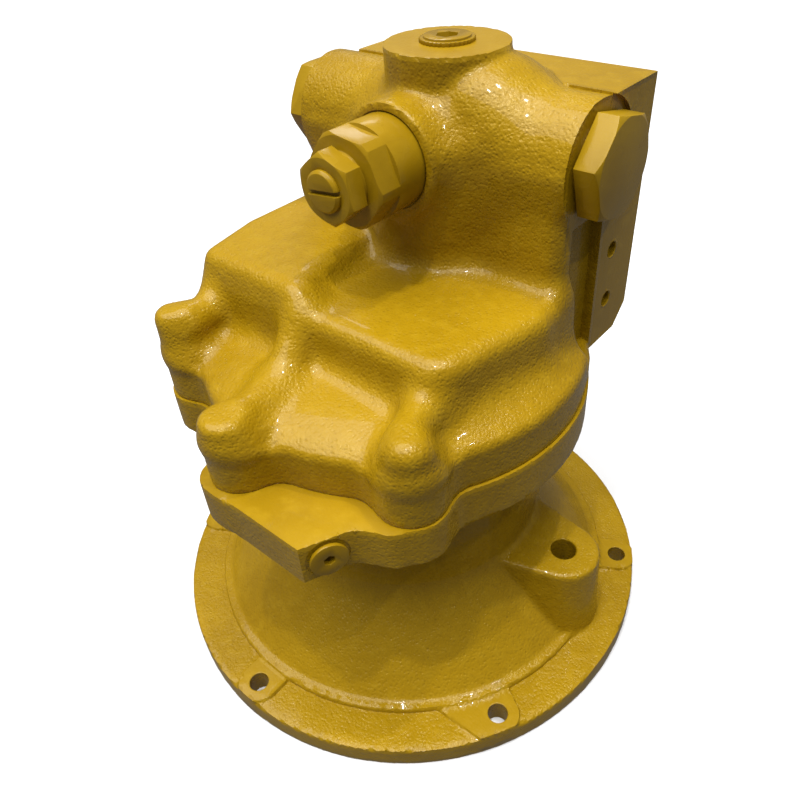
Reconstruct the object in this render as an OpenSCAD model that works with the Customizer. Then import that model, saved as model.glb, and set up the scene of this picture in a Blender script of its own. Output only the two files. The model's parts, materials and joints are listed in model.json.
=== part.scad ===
// Swing motor of an excavator: bent-axis piston motor with a wet multi-disc parking brake.
// Millimetres. The origin is the centre of the flange's bottom face, +Z runs up the drive shaft,
// the safety valve points to -Y and the port block is at +Y.

/* [Flange and bell] */
// Outside diameter of the mounting flange
flange_d = 360; // [352:2:376]
// Thickness of the mounting flange
flange_t = 16; // [14:1:18]
// Diameter of the circle through the flange bolt holes
flange_pcd = 335; // [331:1:338]
// Number of flange bolt holes
flange_holes = 6; // [4:1:8]
// Diameter of one flange bolt hole
flange_hole_d = 13.5; // [11:0.5:15]
// Height of the machined bolt pads over the flange
pad_rise = 2.5; // [1:0.5:4]
// Half width of a bolt pad
pad_r = 14.5; // [12:0.5:16]
// Diameter of the low ring at the foot of the bell
ring_d = 308; // [300:2:312]
// Height of that ring over the flange
ring_rise = 4; // [3:0.5:6]
// Diameter of the pilot recess under the flange
pilot_d = 230; // [216:2:236]
// Depth of the pilot recess
pilot_depth = 8; // [5:0.5:10]
// Outside diameter of the neck between bell and drum
neck_d = 201; // [198:1:206]
// Height at which the bell runs into the neck
neck_z = 77; // [70:1:84]

/* [Drum of the case] */
// Outside diameter of the drum, and of the housing above it
drum_d = 256; // [252:1:260]
// Height of the drum's underside
drum_z = 168; // [164:1:171]
// Height of the joint between case and housing
joint_z = 196; // [194:1:200]
// Radius of the circle of the lobes' bolts
bolt_circle_r = 128; // [127:0.5:130]
// Radius of one bolt lobe
lobe_r = 20.5; // [18:0.5:22]
// Thread diameter of the lobes' bolts
bolt_d = 16; // [12:1:16]
// Radius of the circle of the bolts inside the drum's wall
wall_bolt_circle_r = 118.5; // [117.5:0.5:119]
// Thread diameter of the bolts inside the drum's wall
wall_bolt_d = 10; // [8:1:10]

/* [Pillar] */
// Distance of the pillar's hole from the shaft axis
pillar_reach = 132; // [128:1:134]
// Diameter of the hole through the pillar
pillar_hole_d = 18; // [14:0.5:20]
// Height of the pillar's flat top
pillar_z = 80; // [70:1:90]
// Radius of the pillar at its top
pillar_r = 23; // [19:0.5:24]

/* [Upper housing] */
// Height of the right-hand shelf
shelf_z = 267; // [264:1:272]
// Height of the left-hand shelf
left_shelf_z = 279; // [274:1:284]
// Half width of the tower, and of the port block on the right
block_half_w = 102.5; // [100:0.5:106]
// Half width of the port block on the left
block_left_w = 86; // [80:1:92]
// Height of the side plugs and the safety valve
valve_z = 337; // [334:1:340]
// Distance of the side plugs' axis behind the shaft axis
plug_y = 67; // [65:1:70]
// Radius of the two cast side bosses
side_boss_r = 35; // [33:0.5:37]
// How far the port block's top face lies below the top boss's face
block_top_drop = 17.5; // [14:0.5:20]
// Height of the port block's lower face
block_low_z = 205; // [200:1:210]
// Distance of the port face behind the shaft axis
port_face_y = 126.5; // [124:0.5:130]
// Front of the machined part of the port block's sides
block_front_y = 77; // [74:1:80]
// Height of the top boss's face
top_boss_z = 389.5; // [386:0.5:392]
// Radius of the top boss
top_boss_r = 37.5; // [35:0.5:39]
// Distance of the top boss behind the shaft axis
top_boss_y = 63; // [61:1:66]

/* [Ports] */
// Bore of the two main ports
port_bore_d = 25; // [19:1:28]
// Distance between the centres of the two main ports
port_pitch = 92; // [84:1:96]
// Height of the main ports
port_z = 300; // [292:1:304]
// Wide spacing of the four port bolts
port_bolt_long = 52.4; // [47:0.1:58]
// Narrow spacing of the four port bolts
port_bolt_short = 26.2; // [22:0.1:30]
// Tapping diameter of the port bolts
port_tap_d = 8.5; // [6.8:0.1:10.2]
// Bore of the make-up port on the port face
makeup_d = 20; // [16:0.5:22]
// Tapping diameter of the two holes in the port block's right side
side_tap_d = 10.2; // [8.5:0.1:12]
// Distance between those two holes
side_tap_pitch = 36; // [30:1:40]

/* [Rotating group] */
// Tilt of the cylinder block's axis
tilt = 20; // [19:0.5:21]
// Height of the pistons' ball centres
ball_z = 150; // [149:0.5:151]
// Radius of the circle of ball centres on the shaft flange
ball_circle_r = 42; // [40:0.5:43]
// Number of pistons
piston_count = 7; // [7:1:7]
// Diameter of a piston's ball
ball_d = 22; // [20:0.5:22.5]
// Diameter of a cylinder bore
cylinder_d = 28; // [27:0.5:29]
// Radial room of a piston in its bore
piston_room = 1.7; // [1.6:0.05:2]
// Outside diameter of the cylinder block
block_d = 120; // [118:1:121]
// Length of the cylinder block
block_len = 48; // [46:1:49]
// Distance from the ball plane to the block along its own axis
block_from_pivot = 36; // [35:0.5:37]
// Thickness of the valve plate
valve_plate_t = 6; // [5:0.5:6]

/* [Shaft and bearings] */
// Outside diameter of the shaft flange
shaft_flange_d = 118; // [116:1:118]
// Journal diameter of the upper bearing
upper_journal_d = 72; // [68:1:74]
// Journal diameter of the lower bearing
lower_journal_d = 54; // [50:1:56]
// Outside diameter of the upper bearing
upper_bearing_d = 136; // [132:1:140]
// Outside diameter of the lower bearing
lower_bearing_d = 104; // [100:1:108]
// Outside diameter of the output spline
spline_d = 50; // [46:1:50]
// Number of spline teeth
spline_teeth = 16; // [12:1:20]
// Diameter of the plain nose under the spline
nose_d = 40; // [36:0.5:42]

/* [Brake] */
// Number of friction discs
disc_count = 3; // [2:1:3]
// Thickness of one disc or plate
disc_t = 2.6; // [2.2:0.1:2.6]
// Inside diameter of the bore that holds the plates
stack_bore_d = 172; // [170:1:174]
// Diameter of the brake piston's head
piston_head_d = 212; // [208:1:214]
// Number of brake springs
spring_count = 12; // [8:1:12]
// Stroke of the brake piston when it is released
brake_stroke = 2.5; // [2:0.1:3]

/* [Valves] */
// Radius of the safety valve's round body
relief_body_r = 27.5; // [26:0.25:28.5]
// Width across the flats of the safety valve's body
relief_body_af = 50; // [46:1:52]
// Width across the flats of the lock nut
lock_nut_af = 36; // [34:1:38]
// Diameter of the adjusting screw
screw_d = 24; // [22:0.5:25]
// Width across the flats of the side plugs
plug_af = 55; // [50:1:57]
// Thread diameter of the side plugs
plug_thread_d = 42; // [38:1:44]

/* [Clearances] */
// Gap between pieces that move against each other
gap = 0.3; // [0.3:0.05:0.4]
// Radial clearance of a running fit
run = 0.05; // [0.03:0.01:0.1]

/* [Hidden] */
$fn = 64;
flange_r = flange_d / 2;
ring_r = ring_d / 2;
neck_r = neck_d / 2;
drum_r = drum_d / 2;
ring_z = flange_t + ring_rise;
lobe_angles = [-129, -93, -45];
lobe_tops = [264, 242, 249];
wall_bolt_angles = [15, 50, 85, 120, 155, 190];
pillar_angle = 7;
pillar_x = pillar_reach * cos(pillar_angle);
pillar_y = pillar_reach * sin(pillar_angle);

// The tilted axis leaves the ball centre on the shaft axis and leans towards +Y.
block_r = block_d / 2;
plate_from_pivot = block_from_pivot + block_len;
seat_from_pivot = plate_from_pivot + valve_plate_t;
chamber_r = block_r + 2.5;
bore_circle_r = ball_circle_r * (1 + cos(tilt)) / 2;
rod_len = 60;
head_len = 12;

// Heights inside the case, from the seal upwards
hub_low_z = 34;
seal_top_z = 46;
lower_bearing_h = 24;
upper_bearing_z = 92;
upper_bearing_h = 32;
stack_z = 126;
head_bore_z = 170;
stack_h = (2 * disc_count + 1) * disc_t;
head_h = 18;
sleeve_in_r = 81;
foot_in_r = 64;
foot_h = 11;
spring_circle_r = 94;
spring_r = 4.5;
spring_wire = 1.6;
spring_low_z = 178;
spring_top_z = 206;
shaft_flange_top = ball_z + 4;
shaft_flange_low = upper_bearing_z + upper_bearing_h;

block_top_z = top_boss_z - block_top_drop;

// The two side plugs and the safety valve
plug_seat_x = block_half_w - 2.5;
plug_inner_x = plug_seat_x - 38;
plug_pocket_x = plug_seat_x - 12;
check_seat_x = 40;
check_floor_x = 47;
gallery_r = 13;
relief_root_y = 5;
relief_hex_back_y = -15;
relief_hex_front_y = -31.5;
nut_back_y = -34;
nut_front_y = -46;
screw_tip_y = -49;
screw_bore_y = -10;
relief_nose_y = 42;
seat_face_y = relief_nose_y - 6;
spring_seat_y = 7.4;
seal_face_y = relief_root_y + 1.2;
nose_room = 4;
shuttle_y = 98;
shuttle_z = 283;
shuttle_r = 7;
spool_half = 22;
relief_feed_r = 2.5;
relief_rise_r = 1.5;
return_z = 355.5;
passage_x = 50;
passage_r = 7.5;
kidney_passage_r = 6.5;
drain_bend_x = -107;
port_bore_end_y = 45.5;
side_tap_y = 95.5;
side_tap_z = 254;
drain_y = 14;
drain_z = 238;
drain_low_z = 212;
drain_d = 19;

// Points of an arc that rounds the corner b between a and c with radius r
function unit(v) = v / norm(v);
function corner(a, b, c, r, n = 6) =
    let (u = unit(a - b), v = unit(c - b),
         half = acos(max(-1, min(1, u * v))) / 2,
         m = b + unit(u + v) * r / sin(half),
         s = b + u * r / tan(half) - m,
         e = b + v * r / tan(half) - m,
         a0 = atan2(s[1], s[0]),
         turn = (atan2(e[1], e[0]) - a0 + 540) % 360 - 180)
    [for (i = [0:n]) m + r * [cos(a0 + turn * i / n), sin(a0 + turn * i / n)]];

// A closed outline from corners written as [x, y, radius]
function rounded(p) = [for (i = [0:len(p) - 1])
    let (a = p[(i + len(p) - 1) % len(p)], b = p[i], c = p[(i + 1) % len(p)])
    each (b[2] > 0
        ? corner([a[0], a[1]], [b[0], b[1]], [c[0], c[1]], b[2])
        : [[b[0], b[1]]])];

function polar(r, a) = [r * cos(a), r * sin(a)];

module tube(r_out, r_in, h) {
    difference() {
        cylinder(r = r_out, h = h);
        translate([0, 0, -1]) cylinder(r = r_in, h = h + 2);
    }
}

module ring(r_mid, r_wire) {
    rotate_extrude() translate([r_mid, 0]) circle(r = r_wire, $fn = 24);
}

// A hexagonal prism along +Z with its corners turned down to a cone
module hexagon(af, h, chamfer = 2) {
    corner_r = af / 2 / cos(30);
    intersection() {
        cylinder(r = corner_r, h = h, $fn = 6);
        union() {
            cylinder(r = corner_r + 1, h = h - chamfer);
            translate([0, 0, h - chamfer])
                cylinder(r1 = corner_r, r2 = corner_r - 1.7 * chamfer, h = chamfer);
        }
    }
}

// Stands what it holds on the tilted axis, the given distance from the ball plane
module on_block_axis(d) {
    translate([0, 0, ball_z]) rotate([-tilt, 0, 0]) translate([0, 0, d]) children();
}

// Lays +Z along -Y at the height of the valves, starting at the given y
module along_front(y) {
    translate([0, y, valve_z]) rotate([90, 0, 0]) children();
}

// Lays +Z along +X or -X on the axis of the side plugs
module along_side(side, x) {
    translate([side * x, plug_y, valve_z]) rotate([0, side * 90, 0]) children();
}

/* CASE */

module bell_profile() {
    polygon(rounded([
        [0, 0, 0], [flange_r, 0, 1.5], [flange_r, flange_t, 2], [ring_r, flange_t, 0],
        [ring_r, ring_z, 1.2], [ring_r - 6, ring_z, 5], [neck_r, neck_z, 30],
        [neck_r, drum_z, 8], [drum_r, drum_z, 3], [drum_r, joint_z, 0], [0, joint_z, 0]]));
}

module case_bores() {
    rotate_extrude($fn = 96) polygon([
        [0, -1], [pilot_d / 2, -1], [pilot_d / 2, pilot_depth], [pilot_d / 2 - 8, pilot_depth + 4],
        [86, 50], [66, 50], [66, hub_low_z], [40, hub_low_z], [40, seal_top_z],
        [lower_bearing_d / 2, seal_top_z], [lower_bearing_d / 2, upper_bearing_z],
        [upper_bearing_d / 2, upper_bearing_z], [upper_bearing_d / 2, stack_z - 2],
        [stack_bore_d / 2, stack_z - 2], [stack_bore_d / 2, head_bore_z],
        [piston_head_d / 2 + run, head_bore_z], [piston_head_d / 2 + run, joint_z + 1],
        [0, joint_z + 1]]);
}

module flange_pad(a) {
    rotate(a) translate([0, 0, flange_t - 1]) linear_extrude(pad_rise + 1) difference() {
        union() {
            translate([flange_pcd / 2, 0]) circle(r = pad_r);
            translate([ring_r - 8, -pad_r]) square([flange_pcd / 2 - ring_r + 8, 2 * pad_r]);
            translate([flange_pcd / 2 - pad_r, -pad_r]) square([pad_r + 6, pad_r]);
        }
        difference() {
            circle(r = flange_r + 40);
            circle(r = flange_r - 0.8);
        }
    }
}

module pillar() {
    edge = pillar_r - 0.5;
    cylinder_at_hole() cylinder(r1 = pillar_r + 4, r2 = pillar_r, h = pillar_z - flange_t + 1);
    translate([0, 0, flange_t]) linear_extrude(pillar_z - flange_t) polygon([
        [neck_r - 12, -24], [pillar_x - 4, pillar_y - edge], [pillar_x + 2, pillar_y + edge],
        [neck_r - 14, 60], [60, 40], [60, -20]]);
}

module cylinder_at_hole() {
    translate([pillar_x, pillar_y, flange_t - 1]) children();
}

o_ring_r = 109.5;
o_ring_wire = 1.2;
dowel_d = 8;

// The plate under the housing carries the brake port on its angled front corner.
plate_front_y = -155;
plate_corner_x = 64;
port_normal = -26;
port_face = [[plate_corner_x, plate_front_y], [plate_corner_x + 13.5, plate_front_y + 27.5]];
port_mid = (port_face[0] + port_face[1]) / 2;
port_mid_z = (drum_z + joint_z) / 2;
port_reach = 66;
passage_angle = -84.2;

module front_plate() {
    linear_extrude(joint_z - drum_z) polygon(rounded([
        [-26, plate_front_y, 12], [port_face[0][0], port_face[0][1], 1.5],
        [port_face[1][0], port_face[1][1], 14], [100, -116, 6], [70, -60, 0], [-20, -90, 0]]));
}

module at_brake_port(out) {
    translate([port_mid[0], port_mid[1], port_mid_z]) rotate([0, 90, port_normal])
        translate([0, 0, out]) children();
}

module case() color([0.80, 0.60, 0.09]) {
    difference() {
        union() {
            rotate_extrude($fn = 128) bell_profile();
            for (i = [0:flange_holes - 1]) flange_pad(30 + i * 360 / flange_holes);
            pillar();
            translate([0, 0, drum_z]) {
                lobe_places() cylinder(r = lobe_r, h = joint_z - drum_z);
                front_plate();
            }
            at_brake_port(-12) cylinder(r = 13, h = 12.6);
        }
        case_bores();
        for (i = [0:flange_holes - 1]) rotate(30 + i * 360 / flange_holes)
            translate([flange_pcd / 2, 0, -1]) cylinder(d = flange_hole_d, h = flange_t + 10);
        translate([pillar_x, pillar_y, -1]) cylinder(d = pillar_hole_d, h = pillar_z + 10);
        lobe_places() translate([0, 0, drum_z - 20]) cylinder(d = bolt_d + 1, h = 60);
        wall_bolt_places() translate([0, 0, drum_z - 20]) cylinder(d = wall_bolt_d + 1, h = 60);
        translate([0, 0, joint_z - 2 * o_ring_wire]) tube(o_ring_r + o_ring_wire, o_ring_r - o_ring_wire, 10);
        dowel_places() translate([0, 0, joint_z - 8]) cylinder(d = dowel_d, h = 10);
        at_brake_port(-14) cylinder(d = 12, h = 24);
        at_brake_port(-2) cylinder(d = 18, h = 10);
        brake_passage();
    }
}

// From the brake port inwards, down, and in under the piston's head
module brake_passage() {
    at_brake_port(-port_reach) cylinder(d = 6, h = port_reach);
    translate(polar(113, passage_angle)) translate([0, 0, head_bore_z + 0.5])
        cylinder(d = 6, h = port_mid_z - head_bore_z);
    rotate(passage_angle) translate([98, 0, head_bore_z + 2]) rotate([0, 90, 0]) cylinder(d = 3, h = 15);
}

module lobe_places() {
    for (a = lobe_angles) translate(polar(bolt_circle_r, a)) children();
}

module wall_bolt_places() {
    for (a = wall_bolt_angles) translate(polar(wall_bolt_circle_r, a)) children();
}

module dowel_places() {
    for (a = [-20, 208]) translate(polar(wall_bolt_circle_r, a)) children();
}

module brake_port_plug() color([0.78, 0.58, 0.09]) {
    difference() {
        union() {
            at_brake_port(-14) cylinder(d = 12, h = 14);
            at_brake_port(-2) cylinder(d = 17.9, h = 4.5);
            at_brake_port(0.6) cylinder(d = 22, h = 2.4);
        }
        at_brake_port(-3) cylinder(d = 7, h = 8, $fn = 6);
    }
}

/* HOUSING */

module shelf_outline() {
    polygon(rounded([
        [-108, -64, 14], [-22, -64, 8], [96, -70, 18], [107, -6, 40],
        [block_half_w, 60, 10], [80, 90, 0], [-80, 90, 0], [-120, 42, 12], [-120, -16, 14]]));
}

module left_shelf_outline() {
    polygon(rounded([
        [-108.6, -64.8, 14], [-14, -66.6, 10], [-34, 22, 0], [-60, 79, 0], [-120.7, 42.5, 12],
        [-120.7, -16.4, 14]]));
}

// A shelf is the same outline twice, drawn in at the top so that its edge is round.
module shelf(top, edge) {
    hull() {
        translate([0, 0, joint_z + 8]) linear_extrude(top - edge - joint_z - 8) children();
        translate([0, 0, top - 1]) linear_extrude(1) offset(r = -edge) children();
        translate([0, 0, top - edge * 0.35]) linear_extrude(0.5) offset(r = -edge * 0.35) children();
    }
}

// A bolt lobe: a column with a round top, and the ridge that ties it to the shelf.
module lobe(i) {
    p = polar(bolt_circle_r, lobe_angles[i]);
    translate([p[0], p[1], joint_z]) cylinder(r = lobe_r, h = 20);
    hull() {
        translate([p[0], p[1], joint_z + 15]) cylinder(r = lobe_r + 0.3, h = 6, $fn = 32);
        translate([p[0], p[1], lobe_tops[i] - 12]) lobe_cap();
        translate([p[0] * 0.6, p[1] * 0.6, lobe_tops[i] - 8]) sphere(r = 14, $fn = 32);
    }
}

module lobe_cap() {
    rotate_extrude($fn = 32) {
        translate([lobe_r - 13, 0]) intersection() {
            circle(r = 12, $fn = 32);
            square(20);
        }
        square([lobe_r - 13, 12]);
    }
}

module tower() {
    // Slab that carries the two side bosses
    translate([0.5 - plug_seat_x, plug_y - side_boss_r + 1, shelf_z - 30])
        cube([2 * plug_seat_x - 1, side_boss_r + 15, valve_z - shelf_z + 30]);
    along_side(1, -plug_seat_x - 1.5) cylinder(r = side_boss_r, h = 2 * plug_seat_x + 3);
    // Boss of the safety valve
    along_front(plug_y) cylinder(r = 33, h = plug_y - relief_root_y);
    translate([0, relief_root_y + 36, shelf_z - 20]) cylinder(r = 34, h = valve_z - shelf_z + 20);
    // Dome under the top boss
    translate([0, top_boss_y, valve_z]) cylinder(r1 = 52, r2 = top_boss_r, h = top_boss_z - valve_z - 6);
    translate([0, top_boss_y, valve_z]) cylinder(r = top_boss_r, h = top_boss_z - valve_z);
}

module port_block() {
    depth = port_face_y - block_front_y;
    height = block_top_z - block_low_z;
    translate([-block_left_w, block_front_y, block_low_z]) rotate([90, 0, 90])
        linear_extrude(block_left_w + block_half_w) polygon([
            [0, 0], [depth - 14, 0], [depth, 14], [depth, height - 2], [depth - 2, height], [0, height]]);
}

module housing_bores() {
    // Room for the tilted cylinder block
    on_block_axis(12) cylinder(r = chamber_r, h = plate_from_pivot - 12 - 1, $fn = 96);
    on_block_axis(12) cylinder(r = block_r + 0.5, h = seat_from_pivot - 12, $fn = 96);
    translate([0, 0, joint_z - 1]) cylinder(r = sleeve_in_r, h = 5);
    dowel_places() translate([0, 0, joint_z - 1]) cylinder(d = dowel_d, h = 9);
    for (i = [0:spring_count - 1]) rotate(15 + i * 360 / spring_count)
        translate([spring_circle_r, 0, joint_z - 1])
            cylinder(r = spring_r + 0.6, h = spring_top_z - joint_z + 1, $fn = 32);
    // A passage from each kidney of the valve plate to its main port, and on to the check valve
    for (side = [-1, 1]) {
        on_block_axis(seat_from_pivot - 1) translate([side * bore_circle_r, 0, 0])
            cylinder(r = kidney_passage_r, h = 72);
        translate([side * port_pitch / 2, port_face_y + 1, port_z]) rotate([90, 0, 0]) {
            cylinder(d = port_bore_d, h = port_face_y + 1 - port_bore_end_y);
            port_taps();
        }
        translate([side * passage_x, plug_y, port_z]) cylinder(r = passage_r, h = valve_z - port_z);
    }
    // Make-up port and chamber
    translate([0, port_face_y + 1, valve_z + 12]) rotate([90, 0, 0])
        cylinder(d = makeup_d, h = port_face_y - plug_y);
    translate([0, top_boss_y, valve_z + 3]) cylinder(d = 24, h = top_boss_z - valve_z);
    // Seats of the check valves, behind the side plugs
    along_side(1, -check_seat_x) cylinder(r = gallery_r, h = 2 * check_seat_x);
    for (side = [-1, 1]) {
        along_side(side, plug_seat_x) cylinder(r = side_boss_r + 1, h = 30);
        along_side(side, check_seat_x) cylinder(r = 18, h = 70);
        along_side(side, plug_inner_x) cylinder(d = plug_thread_d, h = 60);
    }
    // Safety valve
    along_front(relief_nose_y + nose_room) cylinder(r = 14, h = 60);
    along_front(relief_root_y + 30) cylinder(r = 19, h = 40);
    along_front(seat_face_y) cylinder(r = 21, h = 7);
    along_front(seal_face_y) cylinder(r = relief_body_r + 1, h = 10);
    translate([0, seat_face_y - 4, return_z]) rotate([-90, 0, 0]) cylinder(r = 3.5, h = 26);
    // Shuttle valve, drilled from the left, and its feed to the safety valve's nose
    translate([-block_left_w - 1, shuttle_y, shuttle_z]) rotate([0, 90, 0]) {
        cylinder(r = shuttle_r, h = block_left_w + port_pitch / 2);
        cylinder(r = 10, h = 15);
    }
    translate([0, shuttle_y, shuttle_z]) rotate([90, 0, 0])
        cylinder(r = relief_feed_r, h = shuttle_y - relief_nose_y + 2);
    translate([0, relief_nose_y + nose_room / 2, shuttle_z])
        cylinder(r = relief_rise_r, h = valve_z - shuttle_z);
    // Tapped holes in the right side of the port block
    for (k = [-0.5, 0.5]) translate([block_half_w + 1, side_tap_y, side_tap_z + k * side_tap_pitch])
        rotate([0, -90, 0]) cylinder(d = side_tap_d, h = 21);
    // Drain port on the left wall, and its way down into the room of the cylinder block
    translate([-131, drain_y, drain_z]) rotate([0, 90, 0]) cylinder(d = drain_d, h = 30);
    translate([drain_bend_x, drain_y, drain_low_z - 3]) cylinder(r = 4.5, h = drain_z - drain_low_z + 3);
    translate([drain_bend_x, drain_y, drain_low_z + 2]) rotate([0, 90, 0]) cylinder(r = 3.5, h = 50);
    // Blind holes of the housing bolts
    lobe_places() translate([0, 0, joint_z - 1]) cylinder(d = bolt_d, h = 27);
    wall_bolt_places() translate([0, 0, joint_z - 1]) cylinder(d = wall_bolt_d, h = 19);
}

module port_taps() {
    for (x = [-1, 1], y = [-1, 1])
        translate([x * port_bolt_short / 2, y * port_bolt_long / 2, 0]) cylinder(d = port_tap_d, h = 21);
}

module housing() color([0.82, 0.62, 0.10]) {
    difference() {
        union() {
            translate([0, 0, joint_z]) cylinder(r = drum_r, h = 24);
            translate([0, 0, joint_z + 24]) cylinder(r1 = drum_r, r2 = drum_r - 12, h = 8);
            shelf(shelf_z, 9) shelf_outline();
            shelf(left_shelf_z, 9) left_shelf_outline();
            for (i = [0:2]) lobe(i);
            tower();
            port_block();
        }
        housing_bores();
    }
}

/* SHAFT AND BEARINGS */

module spline_outline(r_out, depth, n) {
    pitch = 360 / n;
    polygon([for (i = [0:n - 1]) each [
        polar(r_out - depth, (i - 0.32) * pitch), polar(r_out, (i - 0.2) * pitch),
        polar(r_out, (i + 0.2) * pitch), polar(r_out - depth, (i + 0.32) * pitch)]]);
}

disc_spline_n = 36;
disc_spline_depth = 2.5;

module drive_shaft() color([0.62, 0.63, 0.65]) {
    difference() {
        union() {
            translate([0, 0, 9]) cylinder(d = nose_d, h = 11);
            translate([0, 0, 17]) linear_extrude(17) spline_outline(spline_d / 2, 3, spline_teeth);
            translate([0, 0, 33]) cylinder(d = lower_journal_d, h = 40);
            translate([0, 0, 70]) cylinder(d = lower_journal_d + 6, h = 25);
            translate([0, 0, upper_bearing_z]) cylinder(d = upper_journal_d, h = upper_bearing_h + 2);
            translate([0, 0, shaft_flange_low]) cylinder(r = 48, h = 6);
            translate([0, 0, shaft_flange_low + 4]) linear_extrude(shaft_flange_top - shaft_flange_low - 8)
                spline_outline(shaft_flange_d / 2, disc_spline_depth, disc_spline_n);
            translate([0, 0, shaft_flange_top - 4])
                cylinder(r = shaft_flange_d / 2 - disc_spline_depth, h = 4);
        }
        for (i = [0:piston_count - 1]) rotate(i * 360 / piston_count)
            translate([ball_circle_r, 0, ball_z]) sphere(d = ball_d + 2 * gap, $fn = 48);
        translate([0, 0, ball_z]) sphere(r = 8 + gap, $fn = 48);
        translate([0, 0, ball_z]) cylinder(r = 8 + gap, h = 10);
        retainer_screw_places() translate([0, 0, shaft_flange_top - 9]) cylinder(r = 2.5, h = 12);
    }
}

// Taper rollers are drawn as cylinders that lean like the two raceways.
module roller_row(race, z, h, h_roller, n) {
    for (i = [0:n - 1]) rotate(i * 360 / n) translate([(race[0] + race[1]) / 2, 0, z + h / 2])
        rotate([0, atan(bearing_lean / h), 0]) translate([0, 0, -h_roller / 2])
            cylinder(r = (race[1] - race[0]) / 2 - gap - 0.1, h = h_roller, $fn = 24);
}

// A taper roller bearing: the cup's raceway and the cone's raceway lean outwards by the same slope.
bearing_lean = 3;

module bearing_cup(d_out, z, h, r_race) {
    translate([0, 0, z]) difference() {
        cylinder(d = d_out, h = h);
        translate([0, 0, -0.01])
            cylinder(r1 = r_race - bearing_lean / 2, r2 = r_race + bearing_lean / 2, h = h + 0.02);
    }
}

module bearing_cone(d_in, z, h, r_race) {
    translate([0, 0, z]) difference() {
        cylinder(r1 = r_race - bearing_lean / 2, r2 = r_race + bearing_lean / 2, h = h);
        translate([0, 0, -1]) cylinder(d = d_in, h = h + 2);
    }
}

lower_race = [33.5, 45.5];
upper_race = [44, 60];

module lower_bearing_cup() color([0.7, 0.71, 0.73])
    bearing_cup(lower_bearing_d, seal_top_z, lower_bearing_h, lower_race[1]);

module lower_bearing_cone() color([0.72, 0.73, 0.75])
    bearing_cone(lower_journal_d, seal_top_z + 0.5, lower_bearing_h - 0.5, lower_race[0]);

module lower_bearing_rollers() color([0.78, 0.79, 0.8])
    roller_row(lower_race, seal_top_z, lower_bearing_h, 18, 18);

module upper_bearing_cup() color([0.7, 0.71, 0.73])
    bearing_cup(upper_bearing_d, upper_bearing_z, upper_bearing_h - 0.5, upper_race[1]);

module upper_bearing_cone() color([0.72, 0.73, 0.75])
    bearing_cone(upper_journal_d, upper_bearing_z, upper_bearing_h, upper_race[0]);

module upper_bearing_rollers() color([0.78, 0.79, 0.8])
    roller_row(upper_race, upper_bearing_z, upper_bearing_h, 23, 18);

module bearing_spacer() color([0.55, 0.56, 0.58])
    translate([0, 0, seal_top_z + lower_bearing_h]) tube(38, lower_journal_d / 2 + 3,
        upper_bearing_z - seal_top_z - lower_bearing_h);

module shaft_seal() color([0.12, 0.12, 0.13])
    translate([0, 0, hub_low_z + 3]) difference() {
        cylinder(r = 40, h = 8.5);
        translate([0, 0, -1]) cylinder(d = lower_journal_d + 2 * run, h = 12);
        translate([0, 0, -0.01]) difference() {
            cylinder(r = 36, h = 5);
            cylinder(r = 30, h = 5);
        }
    }

module seal_snap_ring() color([0.35, 0.35, 0.37])
    translate([0, 0, hub_low_z + 1]) difference() {
        tube(40, 36.5, 2);
        rotate(-8) cube([60, 10, 10]);
    }

module ball_retainer() color([0.6, 0.61, 0.63])
    translate([0, 0, shaft_flange_top]) difference() {
        cylinder(r = shaft_flange_d / 2 - disc_spline_depth, h = 3);
        for (i = [0:piston_count - 1]) rotate(i * 360 / piston_count)
            translate([ball_circle_r, 0, ball_z - shaft_flange_top]) {
                sphere(d = ball_d + 2 * gap, $fn = 48);
                cylinder(r = 9.7, h = 15);
            }
        translate([0, 0, -1]) cylinder(r = 11, h = 5);
        retainer_screw_places() translate([0, 0, -1]) cylinder(r = 2.5, h = 5);
    }

module retainer_screw_places() {
    for (i = [0:piston_count - 1]) rotate((i + 0.5) * 360 / piston_count) translate([24.5, 0, 0]) children();
}

module retainer_screws() color([0.2, 0.2, 0.22])
    translate([0, 0, shaft_flange_top]) retainer_screw_places() difference() {
        union() {
            translate([0, 0, -8]) cylinder(r = 2.5, h = 11.2, $fn = 24);
            translate([0, 0, 3]) cylinder(r = 4.4, h = 2.4, $fn = 24);
        }
        translate([0, 0, 4]) cylinder(r = 2, h = 4, $fn = 6);
    }

/* BRAKE */

module brake_discs() color([0.35, 0.28, 0.2])
    for (i = [0:disc_count - 1]) translate([0, 0, stack_z + gap / 2 + (2 * i + 1) * disc_t])
        linear_extrude(disc_t - gap) difference() {
            circle(r = 80);
            spline_outline(shaft_flange_d / 2 + gap, disc_spline_depth, disc_spline_n);
        }

module brake_plates() color([0.66, 0.67, 0.69])
    for (i = [0:disc_count]) translate([0, 0, stack_z - 2 + (i == 0 ? 0 : 2) + 2 * i * disc_t])
        tube(stack_bore_d / 2, shaft_flange_d / 2 + 1.5, disc_t + (i == 0 ? 2 : 0));

module brake_piston() color([0.58, 0.59, 0.61]) {
    low_z = stack_z + stack_h + gap;
    difference() {
        union() {
            translate([0, 0, low_z]) cylinder(r = stack_bore_d / 2 - run, h = head_bore_z - low_z + 2);
            translate([0, 0, head_bore_z + gap]) cylinder(d = piston_head_d, h = head_h);
        }
        translate([0, 0, low_z - 1]) cylinder(r = foot_in_r, h = 80);
        translate([0, 0, low_z + foot_h]) cylinder(r = sleeve_in_r, h = 80);
        for (i = [0:spring_count - 1]) rotate(15 + i * 360 / spring_count)
            translate([spring_circle_r, 0, spring_low_z]) cylinder(r = spring_r + 0.6, h = 40, $fn = 32);
        piston_groove(piston_head_d / 2, head_bore_z + 4);
        piston_groove(stack_bore_d / 2 - run, head_bore_z - 8);
    }
}

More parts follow.
